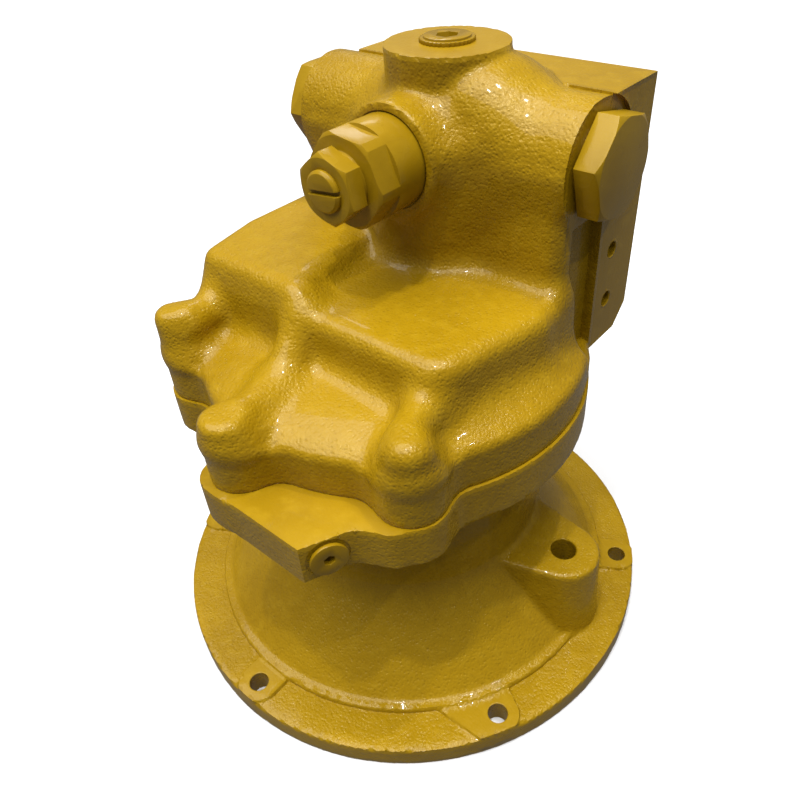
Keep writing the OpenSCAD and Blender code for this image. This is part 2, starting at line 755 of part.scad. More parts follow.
module piston_groove(r, z) {
    translate([0, 0, z]) difference() {
        cylinder(r = r + 2, h = 3.6);
        translate([0, 0, -1]) cylinder(r = r - 2.6, h = 6);
    }
}

module piston_seal_upper() color([0.13, 0.13, 0.14])
    translate([0, 0, head_bore_z + 5.8]) ring(piston_head_d / 2 - 1.1, 1.1);

module piston_seal_lower() color([0.13, 0.13, 0.14])
    translate([0, 0, head_bore_z - 6.2]) ring(stack_bore_d / 2 - run - 1.1, 1.1);

module brake_springs() color([0.3, 0.31, 0.33])
    for (i = [0:spring_count - 1]) rotate(15 + i * 360 / spring_count)
        translate([spring_circle_r, 0, spring_low_z])
            tube(spring_r, spring_r - spring_wire, spring_top_z - spring_low_z);

/* ROTATING GROUP */

module cylinder_block() color([0.64, 0.65, 0.67])
    on_block_axis(block_from_pivot) difference() {
        cylinder(r = block_r, h = block_len, $fn = 96);
        for (i = [0:piston_count - 1]) rotate(i * 360 / piston_count) {
            translate([bore_circle_r, 0, -1]) cylinder(d = cylinder_d, h = block_len - 1);
            translate([bore_circle_r, 0, 1]) cylinder(d = 12, h = block_len);
        }
        translate([0, 0, -1]) cylinder(r = 8 + run, h = block_len + 2);
        translate([0, 0, 6]) cylinder(r = 13, h = 20);
    }

// One piston: a ball in the shaft flange, a tapered rod and a head in the cylinder bore.
// Ball i sits on the flange circle, and the rod runs parallel to the tilted axis.
module piston(i) {
    a = i * 360 / piston_count;
    head_r = cylinder_d / 2 - piston_room;
    color([0.68, 0.69, 0.71]) translate([ball_circle_r * cos(a), ball_circle_r * sin(a), ball_z])
        rotate([-tilt, 0, 0]) {
            sphere(d = ball_d, $fn = 48);
            cylinder(r1 = 6.2, r2 = 9.4, h = rod_len - head_len / 2);
            translate([0, 0, rod_len - head_len / 2]) cylinder(r = head_r, h = head_len);
        }
}

module centre_shaft() color([0.6, 0.61, 0.63])
    on_block_axis(0) {
        sphere(r = 8, $fn = 48);
        cylinder(r = 6, h = plate_from_pivot - 2);
        translate([0, 0, block_from_pivot - 6]) cylinder(r = 8, h = block_len + 2);
    }

module centre_spring() color([0.3, 0.31, 0.33])
    on_block_axis(block_from_pivot + 6) tube(12.5, 9.5, 19.5);

module valve_plate() color([0.72, 0.62, 0.35])
    on_block_axis(plate_from_pivot + run) difference() {
        cylinder(r = block_r - 2, h = valve_plate_t - run, $fn = 96);
        for (side = [-1, 1]) rotate(side * 90 - 90) kidney(bore_circle_r, 6.2, 66);
        translate([0, 0, -1]) cylinder(r = 7, h = 20);
        translate([0, -block_r + 8, 2]) cylinder(r = 3, h = 20);
    }

// A kidney-shaped port: an arc of a ring with round ends, as one outline
module kidney(r, half_w, spread) {
    translate([0, 0, -1]) linear_extrude(20) polygon(concat(
        [for (i = [0:24]) polar(r + half_w, spread * (i / 12 - 1))],
        [for (i = [1:7]) polar(r, spread) + polar(half_w, spread + i * 22.5)],
        [for (i = [0:24]) polar(r - half_w, spread * (1 - i / 12))],
        [for (i = [1:7]) polar(r, -spread) + polar(half_w, 180 - spread + i * 22.5)]));
}

module valve_plate_pin() color([0.5, 0.51, 0.53])
    on_block_axis(plate_from_pivot + 2 + run) translate([0, -block_r + 8, 0])
        cylinder(r = 3, h = valve_plate_t - 2 - run);

/* JOINT, PLUGS AND VALVES */

module joint_o_ring() color([0.13, 0.13, 0.14])
    translate([0, 0, joint_z - o_ring_wire]) ring(o_ring_r, o_ring_wire);

// A socket screw that points up, with the underside of its head at height 0
module socket_screw(d, len, head) {
    difference() {
        union() {
            translate([0, 0, -head]) cylinder(d = 1.6 * d, h = head);
            translate([0, 0, -1]) cylinder(d = d, h = len + 1);
        }
        translate([0, 0, -head - 1]) cylinder(d = 0.9 * d, h = 1 + head / 2, $fn = 6);
    }
}

module housing_bolts() color([0.78, 0.58, 0.09]) {
    lobe_places() translate([0, 0, drum_z]) socket_screw(bolt_d, joint_z - drum_z + 24, 11);
    wall_bolt_places() translate([0, 0, drum_z]) socket_screw(wall_bolt_d, joint_z - drum_z + 17, 10);
}

module joint_dowels() color([0.5, 0.51, 0.53])
    dowel_places() translate([0, 0, joint_z - 8]) cylinder(d = dowel_d, h = 16);

module side_plug(side, turn) {
    head_x = plug_seat_x + 2;
    color([0.79, 0.59, 0.10]) difference() {
        union() {
            along_side(side, head_x) rotate(turn) hexagon(plug_af, 14.7, 2.2);
            along_side(side, plug_seat_x) cylinder(r = 24, h = 3);
            along_side(side, plug_inner_x + 12)
                cylinder(d = plug_thread_d, h = plug_seat_x - plug_inner_x - 11);
        }
        along_side(side, plug_inner_x) cylinder(r = 12, h = plug_pocket_x - plug_inner_x);
        along_side(side, plug_seat_x - 1) tube(23.6, 21.6, 3);
    }
}

module plug_right() side_plug(1, 17.4);
module plug_left() side_plug(-1, 29.5);

module plug_o_rings() color([0.13, 0.13, 0.14])
    for (side = [-1, 1]) along_side(side, plug_seat_x + 1) ring(22.6, 1);

module check_valve(side) {
    color([0.66, 0.67, 0.69]) difference() {
        union() {
            along_side(side, check_seat_x + gap) cylinder(r1 = 14.4, r2 = 18 - run, h = 5);
            along_side(side, check_seat_x + 5) cylinder(r = 18 - run, h = 12);
        }
        along_side(side, check_floor_x) cylinder(r = 11, h = 20);
    }
}

module check_valve_right() check_valve(1);
module check_valve_left() check_valve(-1);

module check_spring(side) {
    color([0.3, 0.31, 0.33]) along_side(side, check_floor_x + gap)
        tube(9.5, 7.8, plug_pocket_x - check_floor_x - gap);
}

module check_spring_right() check_spring(1);
module check_spring_left() check_spring(-1);

module relief_body() color([0.79, 0.59, 0.10])
    difference() {
        union() {
            along_front(seal_face_y) cylinder(r = relief_body_r, h = seal_face_y + 1 - relief_hex_back_y);
            along_front(relief_hex_back_y) intersection() {
                rotate(30) hexagon(relief_body_af, relief_hex_back_y - relief_hex_front_y, 2);
                cylinder(r = relief_body_r, h = 40);
            }
            along_front(relief_hex_front_y + 1) cylinder(r = 17.6, h = relief_hex_front_y + 1 - nut_back_y);
            along_front(relief_root_y + 30) cylinder(r = 19, h = 30);
            along_front(relief_nose_y) cylinder(r = 14, h = 30);
        }
        along_front(seat_face_y) cylinder(r = 10, h = seat_face_y + 20);
        along_front(relief_nose_y + 1) cylinder(r = 5, h = 20);
        along_front(screw_bore_y) cylinder(d = screw_d + 2 * run, h = 60);
        along_front(seal_face_y + 1) tube(26, 24, 2.8);
        for (a = [0, 90, 180, 270]) along_front(seat_face_y - 2.5) rotate(a) rotate([0, 90, 0])
            translate([0, 0, 8]) cylinder(r = 2, h = 14);
    }

module relief_o_ring() color([0.13, 0.13, 0.14])
    along_front(seal_face_y - 0.9) ring(25, 0.9);

module relief_poppet() color([0.66, 0.67, 0.69])
    along_front(seat_face_y - gap) {
        translate([0, 0, -3]) cylinder(r1 = 3.5, r2 = 4.7, h = 3.1);
        cylinder(r = 10 - run, h = 8);
        cylinder(r = 4, h = 14);
    }

module relief_spring() color([0.3, 0.31, 0.33])
    along_front(seat_face_y - 8 - 2 * gap) tube(8.5, 5.5, seat_face_y - 8 - 3 * gap - spring_seat_y);

module spring_seat() color([0.6, 0.61, 0.63])
    along_front(spring_seat_y) {
        cylinder(r = 10 - run, h = 7);
        translate([0, 0, -8]) cylinder(r = 4.5, h = 9);
    }

module adjusting_screw() color([0.77, 0.57, 0.10])
    difference() {
        union() {
            along_front(spring_seat_y - 7 - gap) cylinder(r = 6, h = 16);
            along_front(screw_bore_y - 3.5) cylinder(d = screw_d, h = screw_bore_y - 5 - screw_tip_y);
            along_front(screw_tip_y + 1.5) cylinder(d1 = screw_d, d2 = screw_d - 3, h = 1.5);
        }
        along_front(screw_tip_y + 3) rotate(-20) translate([-20, -1.3, 0]) cube([40, 2.6, 10]);
    }

module lock_nut() color([0.79, 0.59, 0.10])
    difference() {
        along_front(nut_back_y) rotate(39) hexagon(lock_nut_af, nut_back_y - nut_front_y, 1.6);
        along_front(nut_back_y + 1) cylinder(d = screw_d + 2 * run, h = 20);
    }

module shuttle_spool() color([0.66, 0.67, 0.69])
    translate([-spool_half, shuttle_y, shuttle_z]) rotate([0, 90, 0]) difference() {
        cylinder(r = shuttle_r - run, h = 2 * spool_half);
        translate([0, 0, spool_half - 7]) tube(9, 4.5, 14);
    }

module shuttle_plug() color([0.79, 0.59, 0.10])
    translate([-block_left_w - 2, shuttle_y, shuttle_z]) rotate([0, 90, 0]) difference() {
        union() {
            cylinder(r = 13, h = 2);
            cylinder(r = 9.9, h = 15);
        }
        translate([0, 0, -1]) cylinder(d = 8, h = 8, $fn = 6);
    }

module top_plug() color([0.79, 0.59, 0.10])
    translate([0, top_boss_y, top_boss_z]) difference() {
        union() {
            translate([0, 0, -12]) cylinder(d = 24, h = 13);
            serrated_ring();
            cylinder(r = 14, h = 3.4);
        }
        translate([0, 0, -4]) cylinder(d = 14, h = 12, $fn = 6);
        translate([0, 0, -1]) tube(14.1, 12.2, 2.6);
    }

// Notched rim of the top plug's head
module serrated_ring() {
    linear_extrude(2.2) polygon([for (i = [0:71]) polar(i % 2 == 0 ? 16.6 : 15.6, i * 5)]);
}

module top_plug_o_ring() color([0.13, 0.13, 0.14])
    translate([0, top_boss_y, top_boss_z + 0.8]) ring(13.1, 0.8);

case();
housing();
drive_shaft();
lower_bearing_cup();
lower_bearing_cone();
lower_bearing_rollers();
upper_bearing_cup();
upper_bearing_cone();
upper_bearing_rollers();
bearing_spacer();
shaft_seal();
seal_snap_ring();
ball_retainer();
retainer_screws();
brake_discs();
brake_plates();
brake_piston();
piston_seal_upper();
piston_seal_lower();
brake_springs();
cylinder_block();
piston(0);  // piston_1
piston(1);  // piston_2
piston(2);  // piston_3
piston(3);  // piston_4
piston(4);  // piston_5
piston(5);  // piston_6
piston(6);  // piston_7
centre_shaft();
centre_spring();
valve_plate();
valve_plate_pin();
joint_o_ring();
housing_bolts();
joint_dowels();
plug_right();
plug_left();
plug_o_rings();
check_valve_right();
check_valve_left();
check_spring_right();
check_spring_left();
relief_body();
relief_o_ring();
relief_poppet();
relief_spring();
spring_seat();
adjusting_screw();
lock_nut();
shuttle_spool();
shuttle_plug();
top_plug();
top_plug_o_ring();
brake_port_plug();
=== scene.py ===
import json
import math

import bmesh
import bpy
import numpy as np
from mathutils import Matrix


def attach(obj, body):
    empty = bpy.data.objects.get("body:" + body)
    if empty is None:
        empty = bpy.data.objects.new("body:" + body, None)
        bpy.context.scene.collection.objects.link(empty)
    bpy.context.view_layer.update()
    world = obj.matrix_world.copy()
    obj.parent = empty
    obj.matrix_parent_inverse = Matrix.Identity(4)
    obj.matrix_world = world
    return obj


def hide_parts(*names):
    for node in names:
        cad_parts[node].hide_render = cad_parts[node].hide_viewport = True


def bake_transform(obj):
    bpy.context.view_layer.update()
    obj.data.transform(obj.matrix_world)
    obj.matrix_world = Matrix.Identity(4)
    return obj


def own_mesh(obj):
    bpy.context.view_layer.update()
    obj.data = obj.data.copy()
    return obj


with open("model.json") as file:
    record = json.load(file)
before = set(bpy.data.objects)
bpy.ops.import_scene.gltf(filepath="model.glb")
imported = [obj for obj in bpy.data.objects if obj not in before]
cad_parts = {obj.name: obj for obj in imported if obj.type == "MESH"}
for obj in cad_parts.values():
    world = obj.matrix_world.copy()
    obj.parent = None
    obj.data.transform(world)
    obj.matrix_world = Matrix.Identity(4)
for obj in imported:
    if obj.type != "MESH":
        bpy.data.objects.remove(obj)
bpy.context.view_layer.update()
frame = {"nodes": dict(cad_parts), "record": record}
MM = 0.001

# Sizes of the castings, in millimetres, as in the solids
DRUM_R, DRUM_LOW, JOINT_Z, RIM_Z = 128.0, 168.0, 196.0, 220.0
NECK_R, RING_R, FLANGE_R, FLANGE_T = 100.5, 154.0, 180.0, 16.0
SHELF_Z, LEFT_SHELF_Z = 267.0, 279.0
VALVE_Z, PLUG_Y, BOSS_R, ARM_X = 337.0, 67.0, 35.0, 100.0
BLOCK_X, BLOCK_LEFT, BLOCK_Y = 102.5, -86.0, 126.5
TOP_Z, TOP_Y, TOP_R = 389.5, 63.0, 37.5
TILTED = (0, math.sin(math.radians(20)), math.cos(math.radians(20)))
BALL_Z = 150.0
FLANGE_BOLT_R, PAD_R, PAD_Z = 167.5, 14.5, 18.5
PORT_X, PORT_Z = 46.0, 300.0
BOLT_ANGLES = (-129, -93, -45)
# Lobes: the centre's angle and distance, the radius, the top, the rounding of the top's edge, and the ridge's
# bends (x, y, z, radius)
LOBES = [(-135, 130.5, 21.5, 256.0, 9.0, [(-90, -92, 245, 11), (-98, -58, 245, 11)]),
         (-92, 131.5, 21.0, 242.0, 7.0, [(-5, -122, 231, 11), (-12, -90, 231, 10), (-19, -56, 264, 9)]),
         (-46, 128.5, 21.5, 250.0, 11.0, [(86, -88, 239, 11), (78, -60, 240, 10)])]
PILLAR_TURN, PILLAR_REACH, PILLAR_R, PILLAR_Z = math.radians(7), 132.0, 25.0, 80.0
PILLAR = (PILLAR_REACH * math.cos(PILLAR_TURN), PILLAR_REACH * math.sin(PILLAR_TURN))
PORT_AT, PORT_TURN = (70.75, -141.25, 182.0), math.radians(-26)

# The photograph's frame and camera, in pixels, found from the flange's ellipse and its bolt holes
FRAME_PX, FOCUS_PX, CENTRE_PX = 800, 730.898, (421.648, 386.758)


# Camera and lamps

def look():
    """The camera of the photograph: its three directions and its place stand as the columns of one matrix."""
    data = bpy.data.cameras.new("photo_camera")
    camera = bpy.data.objects.new("photo_camera", data)
    right = (0.774762, 0.630734, -0.043799)
    up = (-0.363313, 0.500829, 0.785604)
    back = (0.517443, -0.592744, 0.617177)
    at = (0.2792455, -0.2962952, 0.4933534)
    rows = [[right[i], up[i], back[i], at[i]] for i in range(3)]
    camera.matrix_world = Matrix(rows + [[0, 0, 0, 1]])
    data.sensor_width = 36
    data.lens = FOCUS_PX * data.sensor_width / FRAME_PX
    data.shift_x = 0.5 - CENTRE_PX[0] / FRAME_PX
    data.shift_y = CENTRE_PX[1] / FRAME_PX - 0.5
    data.clip_start, data.clip_end = 0.01, 50
    bpy.context.scene.collection.objects.link(camera)
    bpy.context.scene.camera = camera


def lamp(name, at, target, size, power):
    """A rectangular soft light at one point that faces another."""
    data = bpy.data.lights.new(name, "AREA")
    data.shape, data.size, data.size_y = "RECTANGLE", size[0], size[1]
    data.energy = power
    lamp_object = bpy.data.objects.new(name, data)
    away = np.array(at, float) - np.array(target, float)
    away /= np.linalg.norm(away)
    side = np.cross((0, 1, 0) if abs(away[2]) > 0.95 else (0, 0, 1), away)
    side /= np.linalg.norm(side)
    upward = np.cross(away, side)
    rows = [[side[i], upward[i], away[i], at[i]] for i in range(3)]
    lamp_object.matrix_world = Matrix(rows + [[0, 0, 0, 1]])
    bpy.context.scene.collection.objects.link(lamp_object)


# Shader tools

class Wire:
    """A shader socket in sums and products, as if it were a number."""

    def __init__(self, kit, socket):
        self.kit, self.socket = kit, socket

    def _math(self, operation, *others, clamp=False):
        return self.kit.node("ShaderNodeMath", dict(operation=operation, use_clamp=clamp), (self,) + others)

    def __add__(self, other):
        return self._math("ADD", other)

    def __rsub__(self, other):
        return self.kit.node("ShaderNodeMath", dict(operation="SUBTRACT"), (other, self))

    def __mul__(self, other):
        return self._math("MULTIPLY", other)

    def clip(self):
        """The value held between 0 and 1."""
        return self._math("ADD", 0.0, clamp=True)

    __radd__ = __add__
    __rmul__ = __mul__


class Kit:
    """Builds one material; node() makes any node from its settings and its sockets' values."""

    def __init__(self, name):
        self.material = bpy.data.materials.new(name)
        self.material.use_nodes = True
        self.tree = self.material.node_tree
        self.tree.nodes.clear()
        self.place = self.node("ShaderNodeTexCoord", out="Object")

    def node(self, kind, settings=None, values=(), out=0):
        """A node of a kind: first its settings, then its sockets by name or number. Gives one output."""
        made = self.tree.nodes.new(kind)
        for key, value in (settings or {}).items():
            setattr(made, key, value)
        for key, value in values.items() if isinstance(values, dict) else enumerate(values):
            if isinstance(value, Wire):
                self.tree.links.new(value.socket, made.inputs[key])
            else:
                made.inputs[key].default_value = value
        return Wire(self, made.outputs[out]) if made.outputs else None

    def noise(self, scale, detail=2.0, rough=0.5):
        """Cloudy noise, from 0 to 1, fixed to the piece."""
        return self.node("ShaderNodeTexNoise", {}, {"Vector": self.place, "Scale": scale, "Detail": detail,
                                                    "Roughness": rough})

    def cells(self, scale):
        """Distance to the nearest of many scattered points, in cells."""
        return self.node("ShaderNodeTexVoronoi", {}, {"Vector": self.place, "Scale": scale})

    def step(self, value, low, high):
        """0 below low, 1 above high, and a smooth rise between."""
        return self.node("ShaderNodeMapRange", dict(interpolation_type="SMOOTHSTEP"),
                         {"Value": value, "From Min": low, "From Max": high})

    def mix(self, factor, a, b):
        """From colour a to colour b as the factor goes from 0 to 1."""
        factor_in, a_in, b_in, colour_out = 0, 6, 7, 2
        values = {factor_in: factor, a_in: a, b_in: b}
        return self.node("ShaderNodeMix", dict(data_type="RGBA"), values, colour_out)

    def attribute(self, name):
        """The number that each point of the mesh holds under a name."""
        return self.node("ShaderNodeAttribute", dict(attribute_name=name), out="Fac")

    def bump(self, height, depth, strength):
        """A normal tilted by a height of up to depth metres."""
        return self.node("ShaderNodeBump", {}, {"Height": height, "Distance": depth, "Strength": strength})

    def finish(self, **sockets):
        """Closes the material with one shader whose sockets get these values."""
        shader = self.node("ShaderNodeBsdfPrincipled", {},
                           {key.replace("_", " "): value for key, value in sockets.items()})
        self.node("ShaderNodeOutputMaterial", {}, {"Surface": shader})
        return self.material


def casting_paint():
    """Thick yellow gloss paint over a sand-cast skin: the attribute skin fades the grain on cut faces, and
    the depth of each point in hollows darkens the colour there as painted shade."""
    kit = Kit("casting_paint")
    skin = kit.attribute("skin")
    # Depth in hollows, read for painted shade
    hollow_shade = kit.attribute("hollow_shade")
    grain = kit.noise(540, 3, 0.55)
    pits = kit.step(kit.cells(420), 0.0, 0.55)
    swell = kit.noise(120, 2, 0.5)
    drift = kit.noise(14, 3, 0.55)
    speck = kit.step(kit.cells(90), 0.0, 0.035)
    deep, base, pale = (0.27, 0.155, 0.0025), (0.32, 0.188, 0.0035), (0.36, 0.220, 0.008)
    colour = kit.mix(kit.step(drift, 0.30, 0.62), (*deep, 1), (*base, 1))
    colour = kit.mix(kit.step(swell, 0.45, 0.80) * 0.5, colour, (*pale, 1))
    colour = kit.mix((1 - kit.step(grain, 0.22, 0.46)) * skin * 0.35, colour, (0.17, 0.095, 0.002, 1))
    colour = kit.mix((1 - speck) * skin * 0.5 * kit.step(drift, 0.5, 0.7), colour, (0.06, 0.033, 0.006, 1))
    # Painted shade: the colour darkens where the skin lies deep in hollows
    colour = kit.mix(hollow_shade * 0.3, colour, (0.20, 0.112, 0.002, 1))
    height = grain * 0.55 + pits * 0.25 + swell * 0.7
    rough = (0.20 + 0.10 * grain + (1 - skin) * 0.08).clip()
    fine = kit.bump(height * (skin * 0.9 + 0.1), 0.0011, 0.85)
    return kit.finish(Base_Color=colour, Roughness=rough, Normal=fine, Specular_IOR_Level=0.25,
                      Specular_Tint=(1.0, 0.86, 0.5, 1), Coat_Weight=0.2, Coat_Roughness=0.07)


def steel_paint():
    """The same paint on turned steel: smooth, with faint brush waves and a few darker patches."""
    kit = Kit("steel_paint")
    drift = kit.noise(22, 3, 0.55)
    fine = kit.noise(260, 2, 0.5)
    lines = kit.node("ShaderNodeTexWave", dict(wave_type="BANDS", bands_direction="Y"),
                     {"Vector": kit.place, "Scale": 260, "Distortion": 2.0, "Detail": 2.0})
    colour = kit.mix(kit.step(drift, 0.30, 0.66), (0.25, 0.145, 0.003, 1), (0.31, 0.185, 0.005, 1))
    colour = kit.mix(kit.step(fine, 0.62, 0.80) * 0.35, colour, (0.18, 0.10, 0.003, 1))
    height = fine * 0.5 + drift * 0.5 + lines * 0.06
    rough = (0.24 + 0.12 * kit.step(drift, 0.35, 0.7)).clip()
    return kit.finish(Base_Color=colour, Roughness=rough, Normal=kit.bump(height, 0.0005, 0.35),
                      Specular_IOR_Level=0.25, Specular_Tint=(1.0, 0.86, 0.5, 1),
                      Coat_Weight=0.15, Coat_Roughness=0.10)


def bare_steel(name, colour, rough):
    """Machined steel: fine tool marks in rings, a few darker oil stains."""
    kit = Kit(name)
    marks = kit.node("ShaderNodeTexWave", dict(wave_type="RINGS", rings_direction="Z"),
                     {"Vector": kit.place, "Scale": 900, "Distortion": 0.6, "Detail": 2.0})
    stain = kit.step(kit.noise(35, 4, 0.6), 0.52, 0.72)
    dark = tuple(c * 0.55 for c in colour)
    tint = kit.mix(stain * 0.6, (*colour, 1), (*dark, 1))
    tint = kit.mix(marks * 0.18, tint, (*dark, 1))
    return kit.finish(Base_Color=tint, Roughness=(rough + 0.14 * stain + 0.06 * marks).clip(), Metallic=1.0,
                      Normal=kit.bump(marks * 0.4 + kit.noise(500, 2) * 0.6, 0.0002, 0.3))


def dull(name, colour, rough, scale, depth):
    """Rubber, lining or blackened steel: matt, with a fine grain and paler scuffs."""
    kit = Kit(name)
    grain = kit.noise(scale, 4, 0.6)
    scuff = kit.step(kit.noise(scale / 9, 3, 0.5), 0.5, 0.75)
    pale = tuple(min(1, c * 1.8 + 0.01) for c in colour)
    tint = kit.mix(scuff * 0.5, (*colour, 1), (*pale, 1))
    tint = kit.mix(kit.step(grain, 0.5, 0.8) * 0.4, tint, (*(c * 0.6 for c in colour), 1))
    return kit.finish(Base_Color=tint, Roughness=(rough + 0.12 * grain).clip(),
                      Normal=kit.bump(grain, depth, 0.5))


def floor_paint():
    """The plain pale floor, with a trace of mottle."""
    kit = Kit("floor_paint")
    mottle = kit.noise(6, 3, 0.5)
    return kit.finish(Base_Color=kit.mix(mottle, (0.74, 0.74, 0.74, 1), (0.76, 0.76, 0.76, 1)), Roughness=0.9,
                      Specular_IOR_Level=0.1)


# The castings' forms as distance fields: negative inside, nought on the skin

def soft_min(a, b, k):
    """The smaller of two distances, rounded over a width k where they are equal."""
    h = np.clip(0.5 + 0.5 * (b - a) / k, 0, 1)
    return b + (a - b) * h - k * h * (1 - h)


def soft_max(a, b, k):
    """The larger of two distances, rounded over a width k."""
    return -soft_min(-a, -b, k)


def outline(u, v, points):
    """Distance to a closed outline: the nearest of its edges, negative where a ray to the side crosses it an
    odd number of times."""
    near = np.full(np.broadcast(u, v).shape, 1e9, np.float32)
    inside = np.zeros(near.shape, bool)
    for (ax, ay), (bx, by) in zip(points, points[1:] + points[:1]):
        ex, ey = bx - ax, by - ay
        wu, wv = u - ax, v - ay
        t = np.clip((wu * ex + wv * ey) / (ex * ex + ey * ey), 0, 1)
        near = np.minimum(near, (wu - ex * t) ** 2 + (wv - ey * t) ** 2)
        if ey:
            inside ^= ((ay > v) != (by > v)) & (u < ex * wv / ey + ax)
    return np.where(inside, -1, 1) * np.sqrt(near)


def rounded(corners):
    """A closed outline from corners (x, y, radius): each corner becomes an arc that touches both its edges,
    whose centre lies on the corner's bisector."""
    points, steps = [], 6
    count = len(corners)
    for i, (bx, by, r) in enumerate(corners):
        if r <= 0:
            points.append((bx, by))
            continue
        ax, ay, _ = corners[i - 1]
        cx, cy, _ = corners[(i + 1) % count]
        u = np.array((ax - bx, ay - by)) / math.hypot(ax - bx, ay - by)
        v = np.array((cx - bx, cy - by)) / math.hypot(cx - bx, cy - by)
        half = math.acos(max(-1, min(1, float(u @ v)))) / 2
        middle = np.array((bx, by)) + (u + v) / np.linalg.norm(u + v) * r / math.sin(half)
        start = np.array((bx, by)) + u * r / math.tan(half) - middle
        end = np.array((bx, by)) + v * r / math.tan(half) - middle
        a0 = math.atan2(start[1], start[0])
        turn = (math.atan2(end[1], end[0]) - a0 + 3 * math.pi) % (2 * math.pi) - math.pi
        angles = [a0 + turn * j / steps for j in range(steps + 1)]
        points += [tuple(middle + r * np.array((math.cos(a), math.sin(a)))) for a in angles]
    return points


def rod(x, y, z, a, b, ra, rb):
    """Distance to a rod with round ends whose radius runs from ra at a to rb at b."""
    d = np.array(b, float) - np.array(a, float)
    t = np.clip(((x - a[0]) * d[0] + (y - a[1]) * d[1] + (z - a[2]) * d[2]) / float(d @ d), 0, 1)
    return np.sqrt((x - a[0] - d[0] * t) ** 2 + (y - a[1] - d[1] * t) ** 2
                   + (z - a[2] - d[2] * t) ** 2) - (ra + (rb - ra) * t)


def ball(x, y, z, centre, radius):
    """Distance to a ball."""
    return np.sqrt((x - centre[0]) ** 2 + (y - centre[1]) ** 2 + (z - centre[2]) ** 2) - radius


def lobe_at(angle, r=DRUM_R):
    """The point (x, y) at an angle and a distance from the shaft's axis."""
    return r * math.cos(math.radians(angle)), r * math.sin(math.radians(angle))


def drum_plan(x, y, more, k):
    """The drum seen from above: its circle joined, over a width k, to the three bolt lobes, each larger by a
    little more."""
    plan = np.hypot(x, y) - DRUM_R
    for angle, reach, radius, _, _, _ in LOBES:
        px, py = lobe_at(angle, reach)
        plan = soft_min(plan, np.hypot(x - px, y - py) - radius - more, k)
    return plan


RIGHT_SHELF = rounded([(-108, -67, 14), (90, -66, 20), (100, -20, 40), (107, 12, 30), (102, 60, 12),
                       (80, 92, 0), (-80, 92, 0), (-119, 42, 12), (-119, -16, 14)])
LEFT_SHELF = rounded([(-107, -68, 12), (-20, -69, 8), (-40, 26, 12), (-58, 78, 0), (-119, 42, 12),
                      (-119, -16, 14)])


def drum_cover(x, y, z):
    """The drum's plan under a floor that rises from the rim inwards, steeply at first."""
    rise, run = 14, 18
    inward = np.clip(DRUM_R - np.hypot(x, y), 0, 200)
    floor_z = RIM_Z + 2 + rise * (1 - np.exp(-inward / run))
    return soft_max(drum_plan(x, y, 0, 16) + 0.8, 0.85 * (z - floor_z), 3.5)


def shelves(x, y, z):
    """Two flat-topped steps whose walls lean outwards going down; the left one ends in a slope down to the
    right one."""
    lean, run = 0.07, 0.9
    walls = outline(x, y, RIGHT_SHELF) - lean * (SHELF_Z - z)
    right = soft_max(walls, z - SHELF_Z, 11)
    slope = 0.75 * (outline(x, y, LEFT_SHELF) - run * np.clip(LEFT_SHELF_Z - z, 0, 14))
    left = soft_max(soft_max(slope, z - LEFT_SHELF_Z, 7), walls, 10)
    return soft_min(right, left, 6)


def bolt_lobe(x, y, z, lobe):
    """A post over a bolt, narrower going up while its outer side stays upright, and a ridge of rods from it
    back to the shelves."""
    angle, reach, radius, top, edge, bends = lobe
    draft = 0.3
    drawn = draft * np.clip(z - RIM_Z, 0, 30)
    px, py = lobe_at(angle, reach + drawn)
    post = soft_max(np.hypot(x - px, y - py) - radius + drawn + 0.8, z - top, edge)
    for a, b in zip(bends, bends[1:]):
        post = soft_min(post, rod(x, y, z, a[:3], b[:3], a[3], b[3]), 8)
    return post


def tower(x, y, z):
    """The valve tower: the arm that holds both side plugs, two domes, the wall and column down to the
    shelves, the safety valve's boss and the round top boss."""
    arms = np.hypot(y - PLUG_Y, z - VALVE_Z) - BOSS_R
    small_dome = ball(x, y, z, (-8, TOP_Y, 325), 51)
    big_dome = soft_max(ball(x, y, z, (26, 66, 334), 53), 27 - y, 16)
    body = soft_min(soft_min(arms, small_dome, 16), big_dome, 12)
    foot, wall_front, wall_back = 230, 33, 83
    column_y, column_r, column_front = 41, 34, 8
    wall = soft_max(np.abs(x) - ARM_X, wall_front - y, 12)
    wall = soft_max(wall, soft_max(z - VALVE_Z, y - wall_back, 4), 6)
    body = soft_min(body, soft_max(wall, foot - z, 4), 8)
    column = soft_max(np.hypot(x, y - column_y) - column_r, soft_max(z - VALVE_Z, foot - z, 4), 8)
    body = soft_max(soft_min(body, column, 26), column_front - y, 10)
    valve_boss_r, valve_boss_front = 33, 5
    valve_boss = soft_max(np.hypot(x, z - VALVE_Z) - valve_boss_r, y - PLUG_Y, 3)
    body = soft_min(body, valve_boss, 12)
    top_boss = np.maximum(np.hypot(x, y - TOP_Y) - TOP_R, VALVE_Z - z)
    body = soft_min(body, top_boss, 3)
    return np.maximum(soft_max(body, valve_boss_front - y, 3), np.abs(x) - ARM_X)


def port_block(x, y, z):
    """The crisp block behind the tower, its lower rear edge cut off at 45 degrees."""
    front, top, low, edge = 77, 372, 205, 112.5
    block = np.maximum(np.maximum(x - BLOCK_X, BLOCK_LEFT - x), np.maximum(y - BLOCK_Y, front - y))
    block = np.maximum(block, np.maximum(z - top, low - z))
    return np.maximum(block, (y - edge + low - z) * 0.7071)


